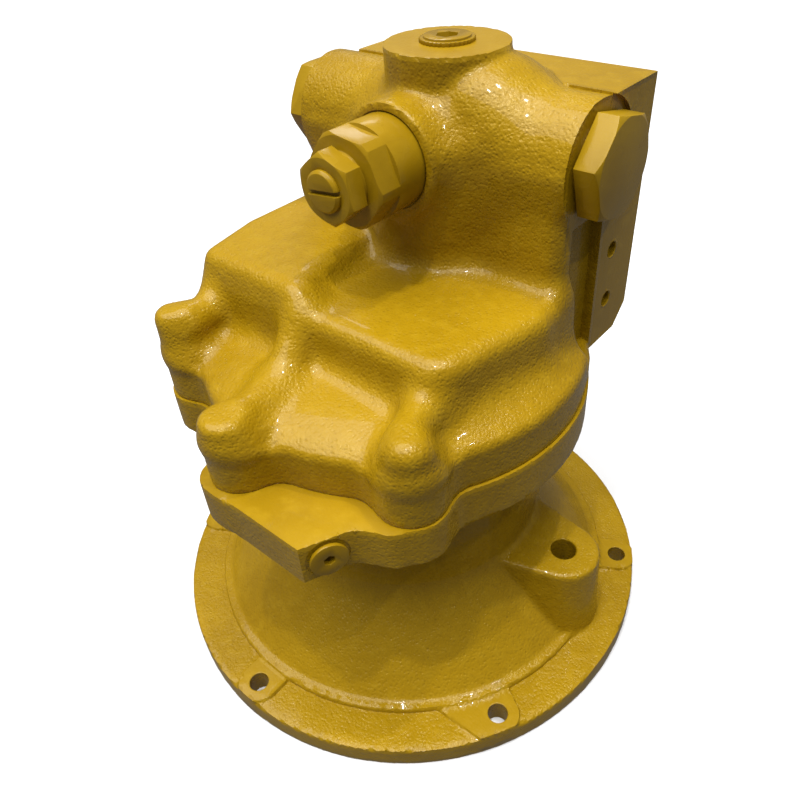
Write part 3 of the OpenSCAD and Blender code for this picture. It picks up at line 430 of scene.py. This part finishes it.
def housing_form(x, y, z):
    """The upper casting: drum cover, shelves, lobes and tower joined softly, less the pocket in the right
    side, then the port block, all between the joint face and the top."""
    body = soft_min(drum_cover(x, y, z), shelves(x, y, z), 13)
    # Near the joint face the lobes join the drum almost crisply, so that the walls there stay upright
    lobe_fillet = 14 * np.clip((z - 214) / 16, 0.08, 1)
    for lobe in LOBES:
        body = soft_min(body, bolt_lobe(x, y, z, lobe), lobe_fillet)
    body = soft_min(body, tower(x, y, z), 13)
    pocket_x, pocket_y, pocket_z, half_wide, half_high = 96, 63.5, 257, 14, 44
    pocket = np.maximum(np.abs(y - pocket_y) - half_wide, np.abs(z - pocket_z) - half_high)
    pocket = np.maximum(pocket_x - x, pocket)
    body = soft_max(body, -pocket, 5)
    body = np.minimum(body, port_block(x, y, z))
    return np.maximum(np.maximum(body, JOINT_Z - z), z - TOP_Z)


BELL = rounded([(0, 0, 0), (FLANGE_R, 0, 0), (FLANGE_R, FLANGE_T, 2), (RING_R, FLANGE_T, 0),
                (RING_R, 20, 1.2), (RING_R - 6, 20, 5), (NECK_R, 77, 30), (NECK_R, DRUM_LOW, 8),
                (DRUM_R, DRUM_LOW, 3), (DRUM_R, JOINT_Z, 0), (0, JOINT_Z, 0)])
PLATE = rounded([(-26, -155, 12), (64, -155, 1.5), (77.5, -127.5, 14), (100, -116, 6), (70, -60, 0),
                 (-20, -90, 0)])
WEB = [(80, -26.2), (PILLAR[0] + 0.3 * PILLAR_R, PILLAR[1] - 0.954 * PILLAR_R),
       (PILLAR[0] + 0.155 * PILLAR_R, PILLAR[1] + 0.987 * PILLAR_R), (80, 49.4), (60, 40), (60, -20)]
WEDGE = [(112, -106), (148.5, -105), (157, -80), (137, -60), (128, -72)]


def bolt_pad(x, y, angle):
    """A flange bolt's pad seen from above: a round end and a straight tongue back to the bell."""
    c, s = math.cos(math.radians(angle)), math.sin(math.radians(angle))
    out, across = x * c + y * s, y * c - x * s
    tongue = np.maximum(np.maximum(np.abs(across) - PAD_R, 140 - out), out - FLANGE_BOLT_R)
    return np.minimum(np.hypot(out - FLANGE_BOLT_R, across) - PAD_R, tongue)


def case_form(x, y, z):
    """The lower casting: the turned bell profile, six pads of which one has a wedge beside it, the pillar and
    its web, both wider going down, and the drum's plan with its front plate."""
    r = np.hypot(x, y)
    body = outline(r, z, BELL)
    for angle in range(30, 390, 60):
        pad = bolt_pad(x, y, angle)
        if angle == 330:
            pad = np.minimum(pad, outline(x, y, WEDGE))
        pad = np.maximum(np.maximum(pad, r - FLANGE_R), np.maximum(z - PAD_Z, 4 - z))
        body = soft_min(body, pad, 1.2)
    wider, height = 4, 64
    draft = wider * (PILLAR_Z - z) / height
    pillar = np.hypot(x - PILLAR[0], y - PILLAR[1]) - PILLAR_R - draft
    stand = np.minimum(pillar, outline(x, y, WEB) - draft)
    stand = soft_max(stand, np.maximum(z - PILLAR_Z, 12 - z), 2.5)
    body = soft_min(body, stand, 4)
    plan = soft_min(drum_plan(x, y, 0.8, 16), outline(x, y, PLATE), 10)
    deck = soft_max(plan, DRUM_LOW - z, 1.8)
    body = soft_min(body, deck, 4)
    return np.maximum(np.maximum(body, z - JOINT_Z), -z)


def slope_at(form, points, h=0.02):
    """The unit slope of a field at points, by central differences."""
    x, y, z = points.T
    slope = np.stack([form(x + h, y, z) - form(x - h, y, z), form(x, y + h, z) - form(x, y - h, z),
                      form(x, y, z + h) - form(x, y, z - h)], 1)
    return slope / np.maximum(np.linalg.norm(slope, axis=1), 1e-9)[:, None]


def crossings(field, axis, base, step):
    """The grid edges along one axis that the skin crosses: the place on each, by the ratio of the field at
    its ends, the four cells round it, and those cells in the order that makes a face point outwards."""
    near, far = [slice(None)] * 3, [slice(None)] * 3
    near[axis], far[axis] = slice(0, -1), slice(1, None)
    before, after = field[tuple(near)], field[tuple(far)]
    crossed = (before < 0) != (after < 0)
    at = np.argwhere(crossed)
    va, vb = before[crossed], after[crossed]
    place = base + at * step
    place[:, axis] += step * va / (va - vb)
    cells = np.array(field.shape) - 1
    one, two = [k for k in range(3) if k != axis]
    ring = []
    for du, dv in ((0, 0), (0, 1), (1, 1), (1, 0)):
        cell = at.copy()
        cell[:, one] -= du
        cell[:, two] -= dv
        ring.append((cell[:, 0] * cells[1] + cell[:, 1]) * cells[2] + cell[:, 2])
    quad = np.stack(ring, 1)
    flip = (va < 0) if axis != 1 else (va >= 0)
    quad[flip] = quad[flip][:, ::-1]
    return place, ring, quad


def meeting_points(index, total, place, normal):
    """For each cell the point nearest to the tangent planes at its crossings: the crossings' mean, moved by
    the least squares of the planes' distances. A weak hold on the mean steadies what the planes don't fix."""
    hold = 0.04
    many = np.bincount(index, minlength=total)
    middle = np.stack([np.bincount(index, place[:, k], total) for k in range(3)], 1) / many[:, None]
    pull = (normal * (place - middle[index])).sum(1)
    right = np.stack([np.bincount(index, normal[:, k] * pull, total) for k in range(3)], 1)
    square = np.zeros((total, 3, 3))
    for i in range(3):
        for j in range(i, 3):
            square[:, i, j] = square[:, j, i] = np.bincount(index, normal[:, i] * normal[:, j], total)
    square += np.eye(3) * hold * many[:, None, None]
    return middle + np.linalg.solve(square, right[..., None])[..., 0]


def net(form, low, high, step):
    """A closed skin where the field is nought. Each grid cell that the skin crosses gets one point, so placed
    that flat faces meet in true edges, and the four cells round each crossed grid edge make a face."""
    axes = [np.arange(a, b + step, step) for a, b in zip(low, high)]
    x, y, z = axes[0][:, None, None], axes[1][None, :, None], axes[2][None, None, :]
    field = np.broadcast_to(form(x, y, z), [len(a) for a in axes]).astype(np.float32)
    base = np.array([a[0] for a in axes])
    places, homes, slopes, quads = [], [], [], []
    for axis in range(3):
        place, ring, quad = crossings(field, axis, base, step)
        places.append(np.tile(place, (4, 1)))
        homes.append(np.concatenate(ring))
        slopes.append(np.tile(slope_at(form, place), (4, 1)))
        quads.append(quad)
    used, index = np.unique(np.concatenate(homes), return_inverse=True)
    points = meeting_points(index, len(used), np.concatenate(places), np.concatenate(slopes))
    corner = base + np.stack(np.unravel_index(used, np.array(field.shape) - 1), 1) * step
    points = np.clip(points, corner - 0.05 * step, corner + 1.05 * step)
    return points, np.searchsorted(used, np.concatenate(quads))


# Meshes

def piece(name, points, faces, scale=MM):
    """A mesh object at the origin, from points and from faces as an array or as lists."""
    mesh = bpy.data.meshes.new(name)
    if isinstance(faces, np.ndarray):
        faces = faces.tolist()
    mesh.from_pydata((np.asarray(points) * scale).tolist(), [], faces)
    made = bpy.data.objects.new(name, mesh)
    bpy.context.scene.collection.objects.link(made)
    return made


def directions(axis):
    """The unit vector along an axis and two more, square to it and to each other."""
    axis = np.array(axis, float) / np.linalg.norm(axis)
    side = np.cross(axis, (1, 0, 0) if abs(axis[0]) < 0.9 else (0, 1, 0))
    side /= np.linalg.norm(side)
    return axis, side, np.cross(axis, side)


def turned(profile, steps=64, at=(0, 0, 0), axis=(0, 0, 1)):
    """A profile (radius, height) turned about an axis through a point: each point makes a ring, rings are
    joined by faces, and the first and last points, on the axis, close the ends with a pole."""
    axis, side, other = directions(axis)
    at = np.array(at, float)
    angles = np.linspace(0, 2 * math.pi, steps, endpoint=False)
    ring = np.cos(angles)[:, None] * side + np.sin(angles)[:, None] * other
    body = np.concatenate([at + axis * h + ring * r for r, h in profile[1:-1]])
    points = np.concatenate([(at + axis * profile[0][1])[None], body, (at + axis * profile[-1][1])[None]])
    here = np.arange(steps)
    following = (here + 1) % steps
    pairs = list(zip(here.tolist(), following.tolist()))
    faces = [(0, 1 + b, 1 + a) for a, b in pairs]
    first, last = 1, len(points) - 1
    while first + steps < last:
        above = first + steps
        faces += [(first + a, first + b, above + b, above + a) for a, b in pairs]
        first = above
    faces += [(first + a, first + b, last) for a, b in pairs]
    return points, faces


def drill(r, start, length, at=(0, 0, 0), axis=(0, 0, 1), steps=48):
    """A plain round cutter along an axis: a rectangle turned about it."""
    return turned([(0, start), (r, start), (r, start + length), (0, start + length)], steps, at, axis)


def joined(parts):
    """Several closed shapes as one list of points and faces, each shape's faces counting on from the last."""
    points, faces, shift = [], [], 0
    for its_points, its_faces in parts:
        points.append(its_points)
        faces += [tuple(i + shift for i in face) for face in its_faces]
        shift += len(its_points)
    return np.concatenate(points), faces


def cut(target, groups):
    """Takes each group of cutters out of a closed skin."""
    for parts in groups:
        cutter = piece("cutter", *joined(parts))
        step = target.modifiers.new("cut", "BOOLEAN")
        step.operation, step.solver, step.object = "DIFFERENCE", "MANIFOLD", cutter
        graph = bpy.context.evaluated_depsgraph_get()
        result = bpy.data.meshes.new_from_object(target.evaluated_get(graph))
        target.modifiers.clear()
        old = target.data
        target.data = result
        result.name = target.name
        bpy.data.meshes.remove(old)
        spare = cutter.data
        bpy.data.objects.remove(cutter)
        bpy.data.meshes.remove(spare)


def smooth(target, degrees):
    """Smooth shading with sharp edges kept where faces meet at more than the angle."""
    target.data.polygons.foreach_set("use_smooth", np.ones(len(target.data.polygons), bool))
    target.data.set_sharp_from_angle(angle=math.radians(degrees))


def paint_in(target, name, values):
    """Stores one number per point for the shader."""
    layer = target.data.attributes.new(name, "FLOAT", "POINT")
    layer.data.foreach_set("value", np.asarray(values, np.float32))


def points_of(target):
    """A piece's points, in millimetres, one a row."""
    out = np.empty(len(target.data.vertices) * 3)
    target.data.vertices.foreach_get("co", out)
    return out.reshape(-1, 3) / MM


def normals_of(target):
    """A piece's outward directions at its points, one a row."""
    out = np.empty(len(target.data.vertices) * 3)
    target.data.vertices.foreach_get("normal", out)
    return out.reshape(-1, 3)


def softened(name, node, width):
    """A copy of a solid's mesh, merged, with flat faces joined and every hard edge rounded by a bevel."""
    mesh = bpy.data.meshes.new(name)
    work = bmesh.new()
    work.from_mesh(node.data)
    bmesh.ops.remove_doubles(work, verts=work.verts, dist=0.02 * MM)
    bmesh.ops.dissolve_limit(work, angle_limit=math.radians(1), verts=work.verts, edges=work.edges)
    work.to_mesh(mesh)
    work.free()
    made = bpy.data.objects.new(name, mesh)
    bpy.context.scene.collection.objects.link(made)
    step = made.modifiers.new("edges", "BEVEL")
    step.width, step.segments = width * MM, 2
    step.limit_method, step.angle_limit = "ANGLE", math.radians(25)
    step.use_clamp_overlap = True
    graph = bpy.context.evaluated_depsgraph_get()
    result = bpy.data.meshes.new_from_object(made.evaluated_get(graph))
    made.modifiers.clear()
    made.data = result
    smooth(made, 32)
    return made


def twisted(made, degrees):
    """Turns a piece about the safety valve's axis, its right side upwards: x and z go round a circle."""
    c, s = math.cos(math.radians(degrees)), math.sin(math.radians(degrees))
    at = points_of(made) - (0, 0, VALVE_Z)
    at = np.stack([c * at[:, 0] - s * at[:, 2], at[:, 1], s * at[:, 0] + c * at[:, 2] + VALVE_Z], 1)
    made.data.vertices.foreach_set("co", (at * MM).ravel())
    made.data.update()


def coil(name, middles, axis, length, radius, wire, turns, begin=0.0, end=1.0):
    """Helical springs, or the part of them from the share begin to the share end: a circle of wire carried
    along a helix that starts at each of the middles, with a flat stretch at both ends, and capped."""
    axis, side, other = directions(axis)
    n, m = int(turns * 14 * (end - begin)), 8
    flat = 0.06
    t = np.linspace(begin, end, n + 1)
    climb = np.clip((t - flat) / (1 - 2 * flat), 0, 1)
    angle = 2 * math.pi * turns * t
    outward = np.cos(angle)[:, None] * side + np.sin(angle)[:, None] * other
    centre = outward * (radius - wire) + axis * (wire + climb * (length - 2 * wire))[:, None]
    w = np.linspace(0, 2 * math.pi, m, endpoint=False)
    tube = centre[:, None] + wire * (np.cos(w)[None, :, None] * outward[:, None]
                                     + np.sin(w)[None, :, None] * axis[None, None])
    one = tube.reshape(-1, 3)
    i, j = np.meshgrid(np.arange(n), np.arange(m), indexing="ij")
    k = (j + 1) % m
    quads = np.stack([i * m + j, i * m + k, (i + 1) * m + k, (i + 1) * m + j], -1).reshape(-1, 4)
    faces = quads.tolist() + [list(range(m - 1, -1, -1)), list(range(n * m, n * m + m))]
    made = piece(name, *joined([(one + np.array(at, float), faces) for at in middles]))
    work = bmesh.new()
    work.from_mesh(made.data)
    bmesh.ops.recalc_face_normals(work, faces=work.faces)
    work.to_mesh(made.data)
    work.free()
    smooth(made, 50)
    return made


# The castings' holes

def along_tilt(profile, steps=96, aside=0.0):
    """A lathe on the tilted axis of the cylinder block, or beside it; heights count from the ball centre."""
    return turned(profile, steps, (aside, 0, BALL_Z), TILTED)


def along_front(profile, steps=72):
    """A lathe on the safety valve's axis; heights are the distance in front of the shaft axis."""
    return turned(profile, steps, (0, 0, VALVE_Z), (0, -1, 0))


def mouth(r, start, end, at, axis, steps=40, edge=0.7):
    """A round hole's cutter: a straight bore that widens at 45 degrees where it meets the face at end."""
    wide, clear = r + 1.6 * edge, end + 8
    profile = [(0, start), (r, start), (r, end - edge), (wide, end + 0.6 * edge), (wide, clear), (0, clear)]
    return turned(profile, steps, at, axis)


def ring_of(count, radius, start=0.0):
    """Points (x, y) of an even ring round the shaft's axis, the first at the angle start."""
    return [lobe_at(start + 360 * i / count, radius) for i in range(count)]


WALL_BOLTS = [lobe_at(angle, 118.5) for angle in (15, 50, 85, 120, 155, 190)]
DOWELS = [lobe_at(angle, 118.5) for angle in (-20, 208)]
BRAKE_SPRINGS = ring_of(12, 94, 15)


def housing_cutters():
    """The holes and rooms of the upper casting, in groups whose members stay apart."""
    ports = [mouth(12.5, 45.5, BLOCK_Y, (s * PORT_X, 0, PORT_Z), (0, 1, 0), 64) for s in (-1, 1)]
    taps = [mouth(4.25, 106.5, BLOCK_Y, (s * PORT_X + a * 13.1, 0, PORT_Z + b * 26.2), (0, 1, 0), 28, 0.5)
            for s in (-1, 1) for a in (-1, 1) for b in (-1, 1)]
    sides = [mouth(5.1, 82.5, BLOCK_X, (0, 95.5, 254 + k * 18), (1, 0, 0), 36, 0.6) for k in (-1, 1)]
    valve = along_front([(0, -46), (14, -46), (14, -36.2), (21, -36), (21, -29), (19, -29), (19, -6.2),
                         (28.5, -6.2), (28.5, 4), (0, 4)])
    half = [(13, 40), (18, 40), (18, 62), (21, 62), (21, ARM_X), (36, ARM_X), (36, 112), (0, 112)]
    gallery = turned([(r, -h) for r, h in reversed(half)] + half, 96, (0, PLUG_Y, VALVE_Z), (1, 0, 0))
    spool_bore = [(0, -90), (10, -90), (10, -72), (7, -72), (7, 46), (0, 46)]
    shuttle = turned(spool_bore, 36, (0, 98, 283), (1, 0, 0))
    below = [drill(8, 190, 32, (*lobe_at(a), 0)) for a in BOLT_ANGLES]
    below += [drill(5, 190, 24, (x, y, 0), steps=28) for x, y in WALL_BOLTS]
    below += [drill(4, 190, 14, (x, y, 0), steps=24) for x, y in DOWELS]
    below += [drill(5.1, 190, 16, (x, y, 0), steps=24) for x, y in BRAKE_SPRINGS]
    block_room = along_tilt([(0, 12), (62.5, 12), (62.5, 83), (60.5, 83.1), (60.5, 90), (0, 90)])
    brake_room = drill(81, 190, 10, steps=96)
    drain = mouth(9.5, 101, 120.7, (0, 14, 238), (-1, 0, 0))
    ducts = [along_tilt([(0, 89), (6.5, 89), (6.5, 160), (0, 160)], 32, s * 40.7) for s in (-1, 1)]
    ducts += [drill(12, 340, 60, (0, TOP_Y, 0), steps=48), drill(2.5, 40, 58, (0, 0, 283), (0, 1, 0), 20),
              drill(4.5, 209, 29, (-107, 14, 0), steps=24)]
    links = [drill(7.5, 300, 37, (s * 50, PLUG_Y, 0), steps=36) for s in (-1, 1)]
    links += [mouth(10, 67, BLOCK_Y, (0, 0, 349), (0, 1, 0), 48), drill(1.5, 283, 54, (0, 44, 0), steps=16),
              drill(3.5, 32, 26, (0, 0, 355.5), (0, 1, 0), 24),
              drill(3.5, -107, 50, (0, 14, 214), (1, 0, 0), 24)]
    return [[block_room], [brake_room, drain, valve] + ports + taps + sides, [gallery, shuttle] + below,
            ducts, links]


def case_cutters():
    """The bores of the lower casting, in groups whose members stay apart."""
    inner = [(0, -4), (115, -4), (115, 8), (107, 12), (86, 50), (66, 50), (66, 34), (40, 34), (40, 46),
             (52, 46), (52, 92), (68, 92), (68, 124), (86, 124), (86, 170), (106.05, 170), (106.05, 205),
             (0, 205)]
    holes = [mouth(6.75, -6, PAD_Z, (x, y, 0), (0, 0, 1), 36, 0.6) for x, y in ring_of(6, FLANGE_BOLT_R, 30)]
    holes += [mouth(9, -6, PILLAR_Z, (*PILLAR, 0), (0, 0, 1), 48, 0.8)]
    holes += [drill(8.5, 160, 50, (*lobe_at(a), 0), steps=36) for a in BOLT_ANGLES]
    holes += [drill(5.5, 160, 50, (x, y, 0), steps=28) for x, y in WALL_BOLTS]
    holes += [drill(4, 188, 20, (x, y, 0), steps=24) for x, y in DOWELS]
    normal = (math.cos(PORT_TURN), math.sin(PORT_TURN), 0)
    port = turned([(0, -14), (6, -14), (6, -2), (9, -2), (9, -0.5), (12.8, -0.5), (12.8, 8), (0, 8)], 64,
                  PORT_AT, normal)
    return [[turned(inner, 128)], holes + [port]]


def with_marks(target, form, cast):
    """Stores on a casting how rough its skin is and how deep each point lies in hollows, which the paint
    turns into painted shade. A point away from the field's nought is on a cut wall. The field a little way
    out from a flat face equals that way, and is less in hollows and more on ridges."""
    at, out = points_of(target), normals_of(target)
    reach, cut_depth = 9.0, 0.9
    there = at + out * reach
    # Depth in hollows, for the painted shade in the casting paint
    paint_in(target, "hollow_shade", np.clip((reach - form(*there.T)) / reach, 0, 1))
    machined = np.abs(form(*at.T)) > cut_depth
    paint_in(target, "skin", np.where(machined, 0.15, cast(at, out)))


def housing_skin(at, out):
    """1 on the cast skin of the upper casting, less on its machined faces: the port block, whose top is
    rougher, the top boss, the arm's ends and the joint face."""
    x, y, z = at.T
    skin = np.ones(len(at))
    block = (np.abs(out).max(1) > 0.985) & (y > 77.3)
    arm_end = (np.abs(x) > ARM_X - 0.6) & (np.abs(out[:, 0]) > 0.97) & (z > 292)
    skin[block] = 0.12
    skin[block & (out[:, 2] > 0.5)] = 0.4
    skin[z > TOP_Z - 1.5] = 0.12
    skin[arm_end] = 0.3
    skin[z < JOINT_Z + 0.5] = 0.1
    return skin


def case_skin(at, out):
    """1 on the cast skin of the lower casting, less on its machined faces: the joint face, the pads' tops,
    the flange's edge and its lower face."""
    x, y, z = at.T
    r = np.hypot(x, y)
    skin = np.ones(len(at))
    skin[z > JOINT_Z - 0.6] = 0.1
    skin[(z > PAD_Z - 0.3) & (z < PAD_Z + 0.5) & (r > RING_R + 1)] = 0.15
    skin[(z < FLANGE_T + 1) & (r > FLANGE_R - 1.5)] = 0.45
    skin[z < 0.4] = 0.1
    return skin


def casting(name, form, low, high, step, cutters, cast):
    """One cast skin: the net of its field between two corners, its holes cut crisp, marked for the shader."""
    made = piece(name, *net(form, low, high, step))
    cut(made, cutters)
    smooth(made, 40)
    with_marks(made, form, cast)
    return made


# The whole motor

def studio():
    """White surroundings, a pale floor that lights nothing, a wide ceiling light, a window behind on the left
    and three small lamps overhead for the paint's glints."""
    scene = bpy.context.scene
    scene.view_settings.view_transform = "Standard"
    world = bpy.data.worlds.new("studio")
    world.use_nodes = True
    world.node_tree.nodes["Background"].inputs["Color"].default_value = (1, 1, 1, 1)
    world.node_tree.nodes["Background"].inputs["Strength"].default_value = 0.20
    scene.world = world
    half, level = 6, -0.0005
    floor = piece("studio_floor", [(-half, -half, level), (half, -half, level), (half, half, level),
                                   (-half, half, level)], [(0, 1, 2, 3)], 1.0)
    floor.data.materials.append(floor_paint())
    floor.visible_glossy = False
    floor.visible_diffuse = False
    sun = bpy.data.lights.new("ceiling", "SUN")
    sun.energy, sun.angle = 4.25, math.radians(65)
    sun_object = bpy.data.objects.new("ceiling", sun)
    sun_object.rotation_euler = (math.radians(14), math.radians(-10), 0)
    scene.collection.objects.link(sun_object)
    lamp("window", (-1.24, 1.29, 1.68), (0, -0.1, 0.2), (0.45, 0.35), 3.2)
    for name, at, power in (("spark_1", (0.22, 0.20, 1.90), 9), ("spark_2", (0.14, -0.42, 1.85), 9),
                            ("spark_3", (0.90, 0.05, 1.60), 5)):
        lamp(name, at, (0, 0, 0.25), (0.05, 0.05), power)


def finishes():
    """Every paint and bare material, by the name of its slot."""
    return {"painted_casting": casting_paint(), "painted_steel": steel_paint(),
            "machined_steel": bare_steel("machined_steel", (0.60, 0.60, 0.62), 0.28),
            "bronze": bare_steel("bronze", (0.58, 0.42, 0.20), 0.32),
            "black_steel": dull("black_steel", (0.035, 0.035, 0.04), 0.42, 400, 0.0002),
            "rubber": dull("rubber", (0.022, 0.022, 0.024), 0.6, 300, 0.0002),
            "friction": dull("friction", (0.13, 0.09, 0.055), 0.8, 500, 0.0004)}


def stand_in(made, node, slot):
    """Gives a piece its finish and shows it in place of a solid."""
    made.data.materials.clear()
    made.data.materials.append(FINISHES[slot])
    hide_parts(node)


def castings():
    """The two cast pieces."""
    housing = casting("housing_cast", housing_form, (-134, -156, 192), (134, 134, 394), 2.2,
                      housing_cutters(), housing_skin)
    case = casting("case_cast", case_form, (-184, -184, -4), (184, 184, 200), 2.6,
                   case_cutters(), case_skin)
    for made, node in ((housing, "housing"), (case, "case")):
        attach(made, "case")
        stand_in(made, node, "painted_casting")


def painted_fittings():
    """The plugs, the safety valve's outer pieces and the bolts, softened. The valve's body and its screw
    stand at the angles that the photograph shows."""
    bevels = {"plug_right": 0.7, "plug_left": 0.7, "relief_body": 0.6, "lock_nut": 0.6,
              "adjusting_screw": 0.4, "top_plug": 0.3, "brake_port_plug": 0.4, "shuttle_plug": 0.4,
              "housing_bolts": 0.5}
    turns = {"adjusting_screw": 27, "relief_body": 22}
    for node, width in bevels.items():
        made = softened(node + "_painted", frame["nodes"][node], width)
        twisted(made, turns.get(node, 0))
        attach(made, OWNER[node])
        stand_in(made, node, "painted_steel")


def springs():
    """The coil springs. Those on the brake piston, the check valves and the cylinder block's centre ride with
    the bodies that hold them. The safety valve's spring is two lengths, left where they stand."""
    feet = [(x, y, 178) for x, y in BRAKE_SPRINGS]
    made = coil("brake_coils", feet, (0, 0, 1), length=28, radius=4.5, wire=0.8, turns=8)
    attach(made, OWNER["brake_springs"])
    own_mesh(made)
    stand_in(made, "brake_springs", "black_steel")
    for side, word in ((1, "right"), (-1, "left")):
        made = coil("check_coil_" + word, [(side * 47.3, PLUG_Y, VALVE_Z)], (side, 0, 0), length=40.7,
                    radius=9.5, wire=0.85, turns=7)
        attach(made, OWNER["check_spring_" + word])
        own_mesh(made)
        stand_in(made, "check_spring_" + word, "black_steel")
    for word, begin, end, mover, start in (("rear", 0, 0.4, "relief_poppet", 0.0259),
                                           ("front", 0.4, 1, "spring_seat", 0.0092)):
        made = coil("relief_coil_" + word, [(0, 27.4, VALVE_Z)], (0, -1, 0), length=19.7, radius=8.5,
                    wire=1.25, turns=4, begin=begin, end=end)
        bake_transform(made)
        stand_in(made, "relief_spring", "black_steel")
    foot = np.array((0, 0, BALL_Z)) + 42 * np.array(TILTED)
    made = coil("centre_coil", [foot], TILTED, length=19.5, radius=12.5, wire=1.5, turns=5)
    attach(made, OWNER["centre_spring"])
    stand_in(made, "centre_spring", "black_steel")


look()
studio()
FINISHES = finishes()
OWNER = {node: body for body, nodes in frame["record"]["behaviour"]["bodies"].items() for node in nodes}
for part in frame["record"]["subparts"]:
    solid = frame["nodes"][part["node"]]
    solid.data.materials.clear()
    solid.data.materials.append(FINISHES[part["material_slot"]])
castings()
painted_fittings()
springs()
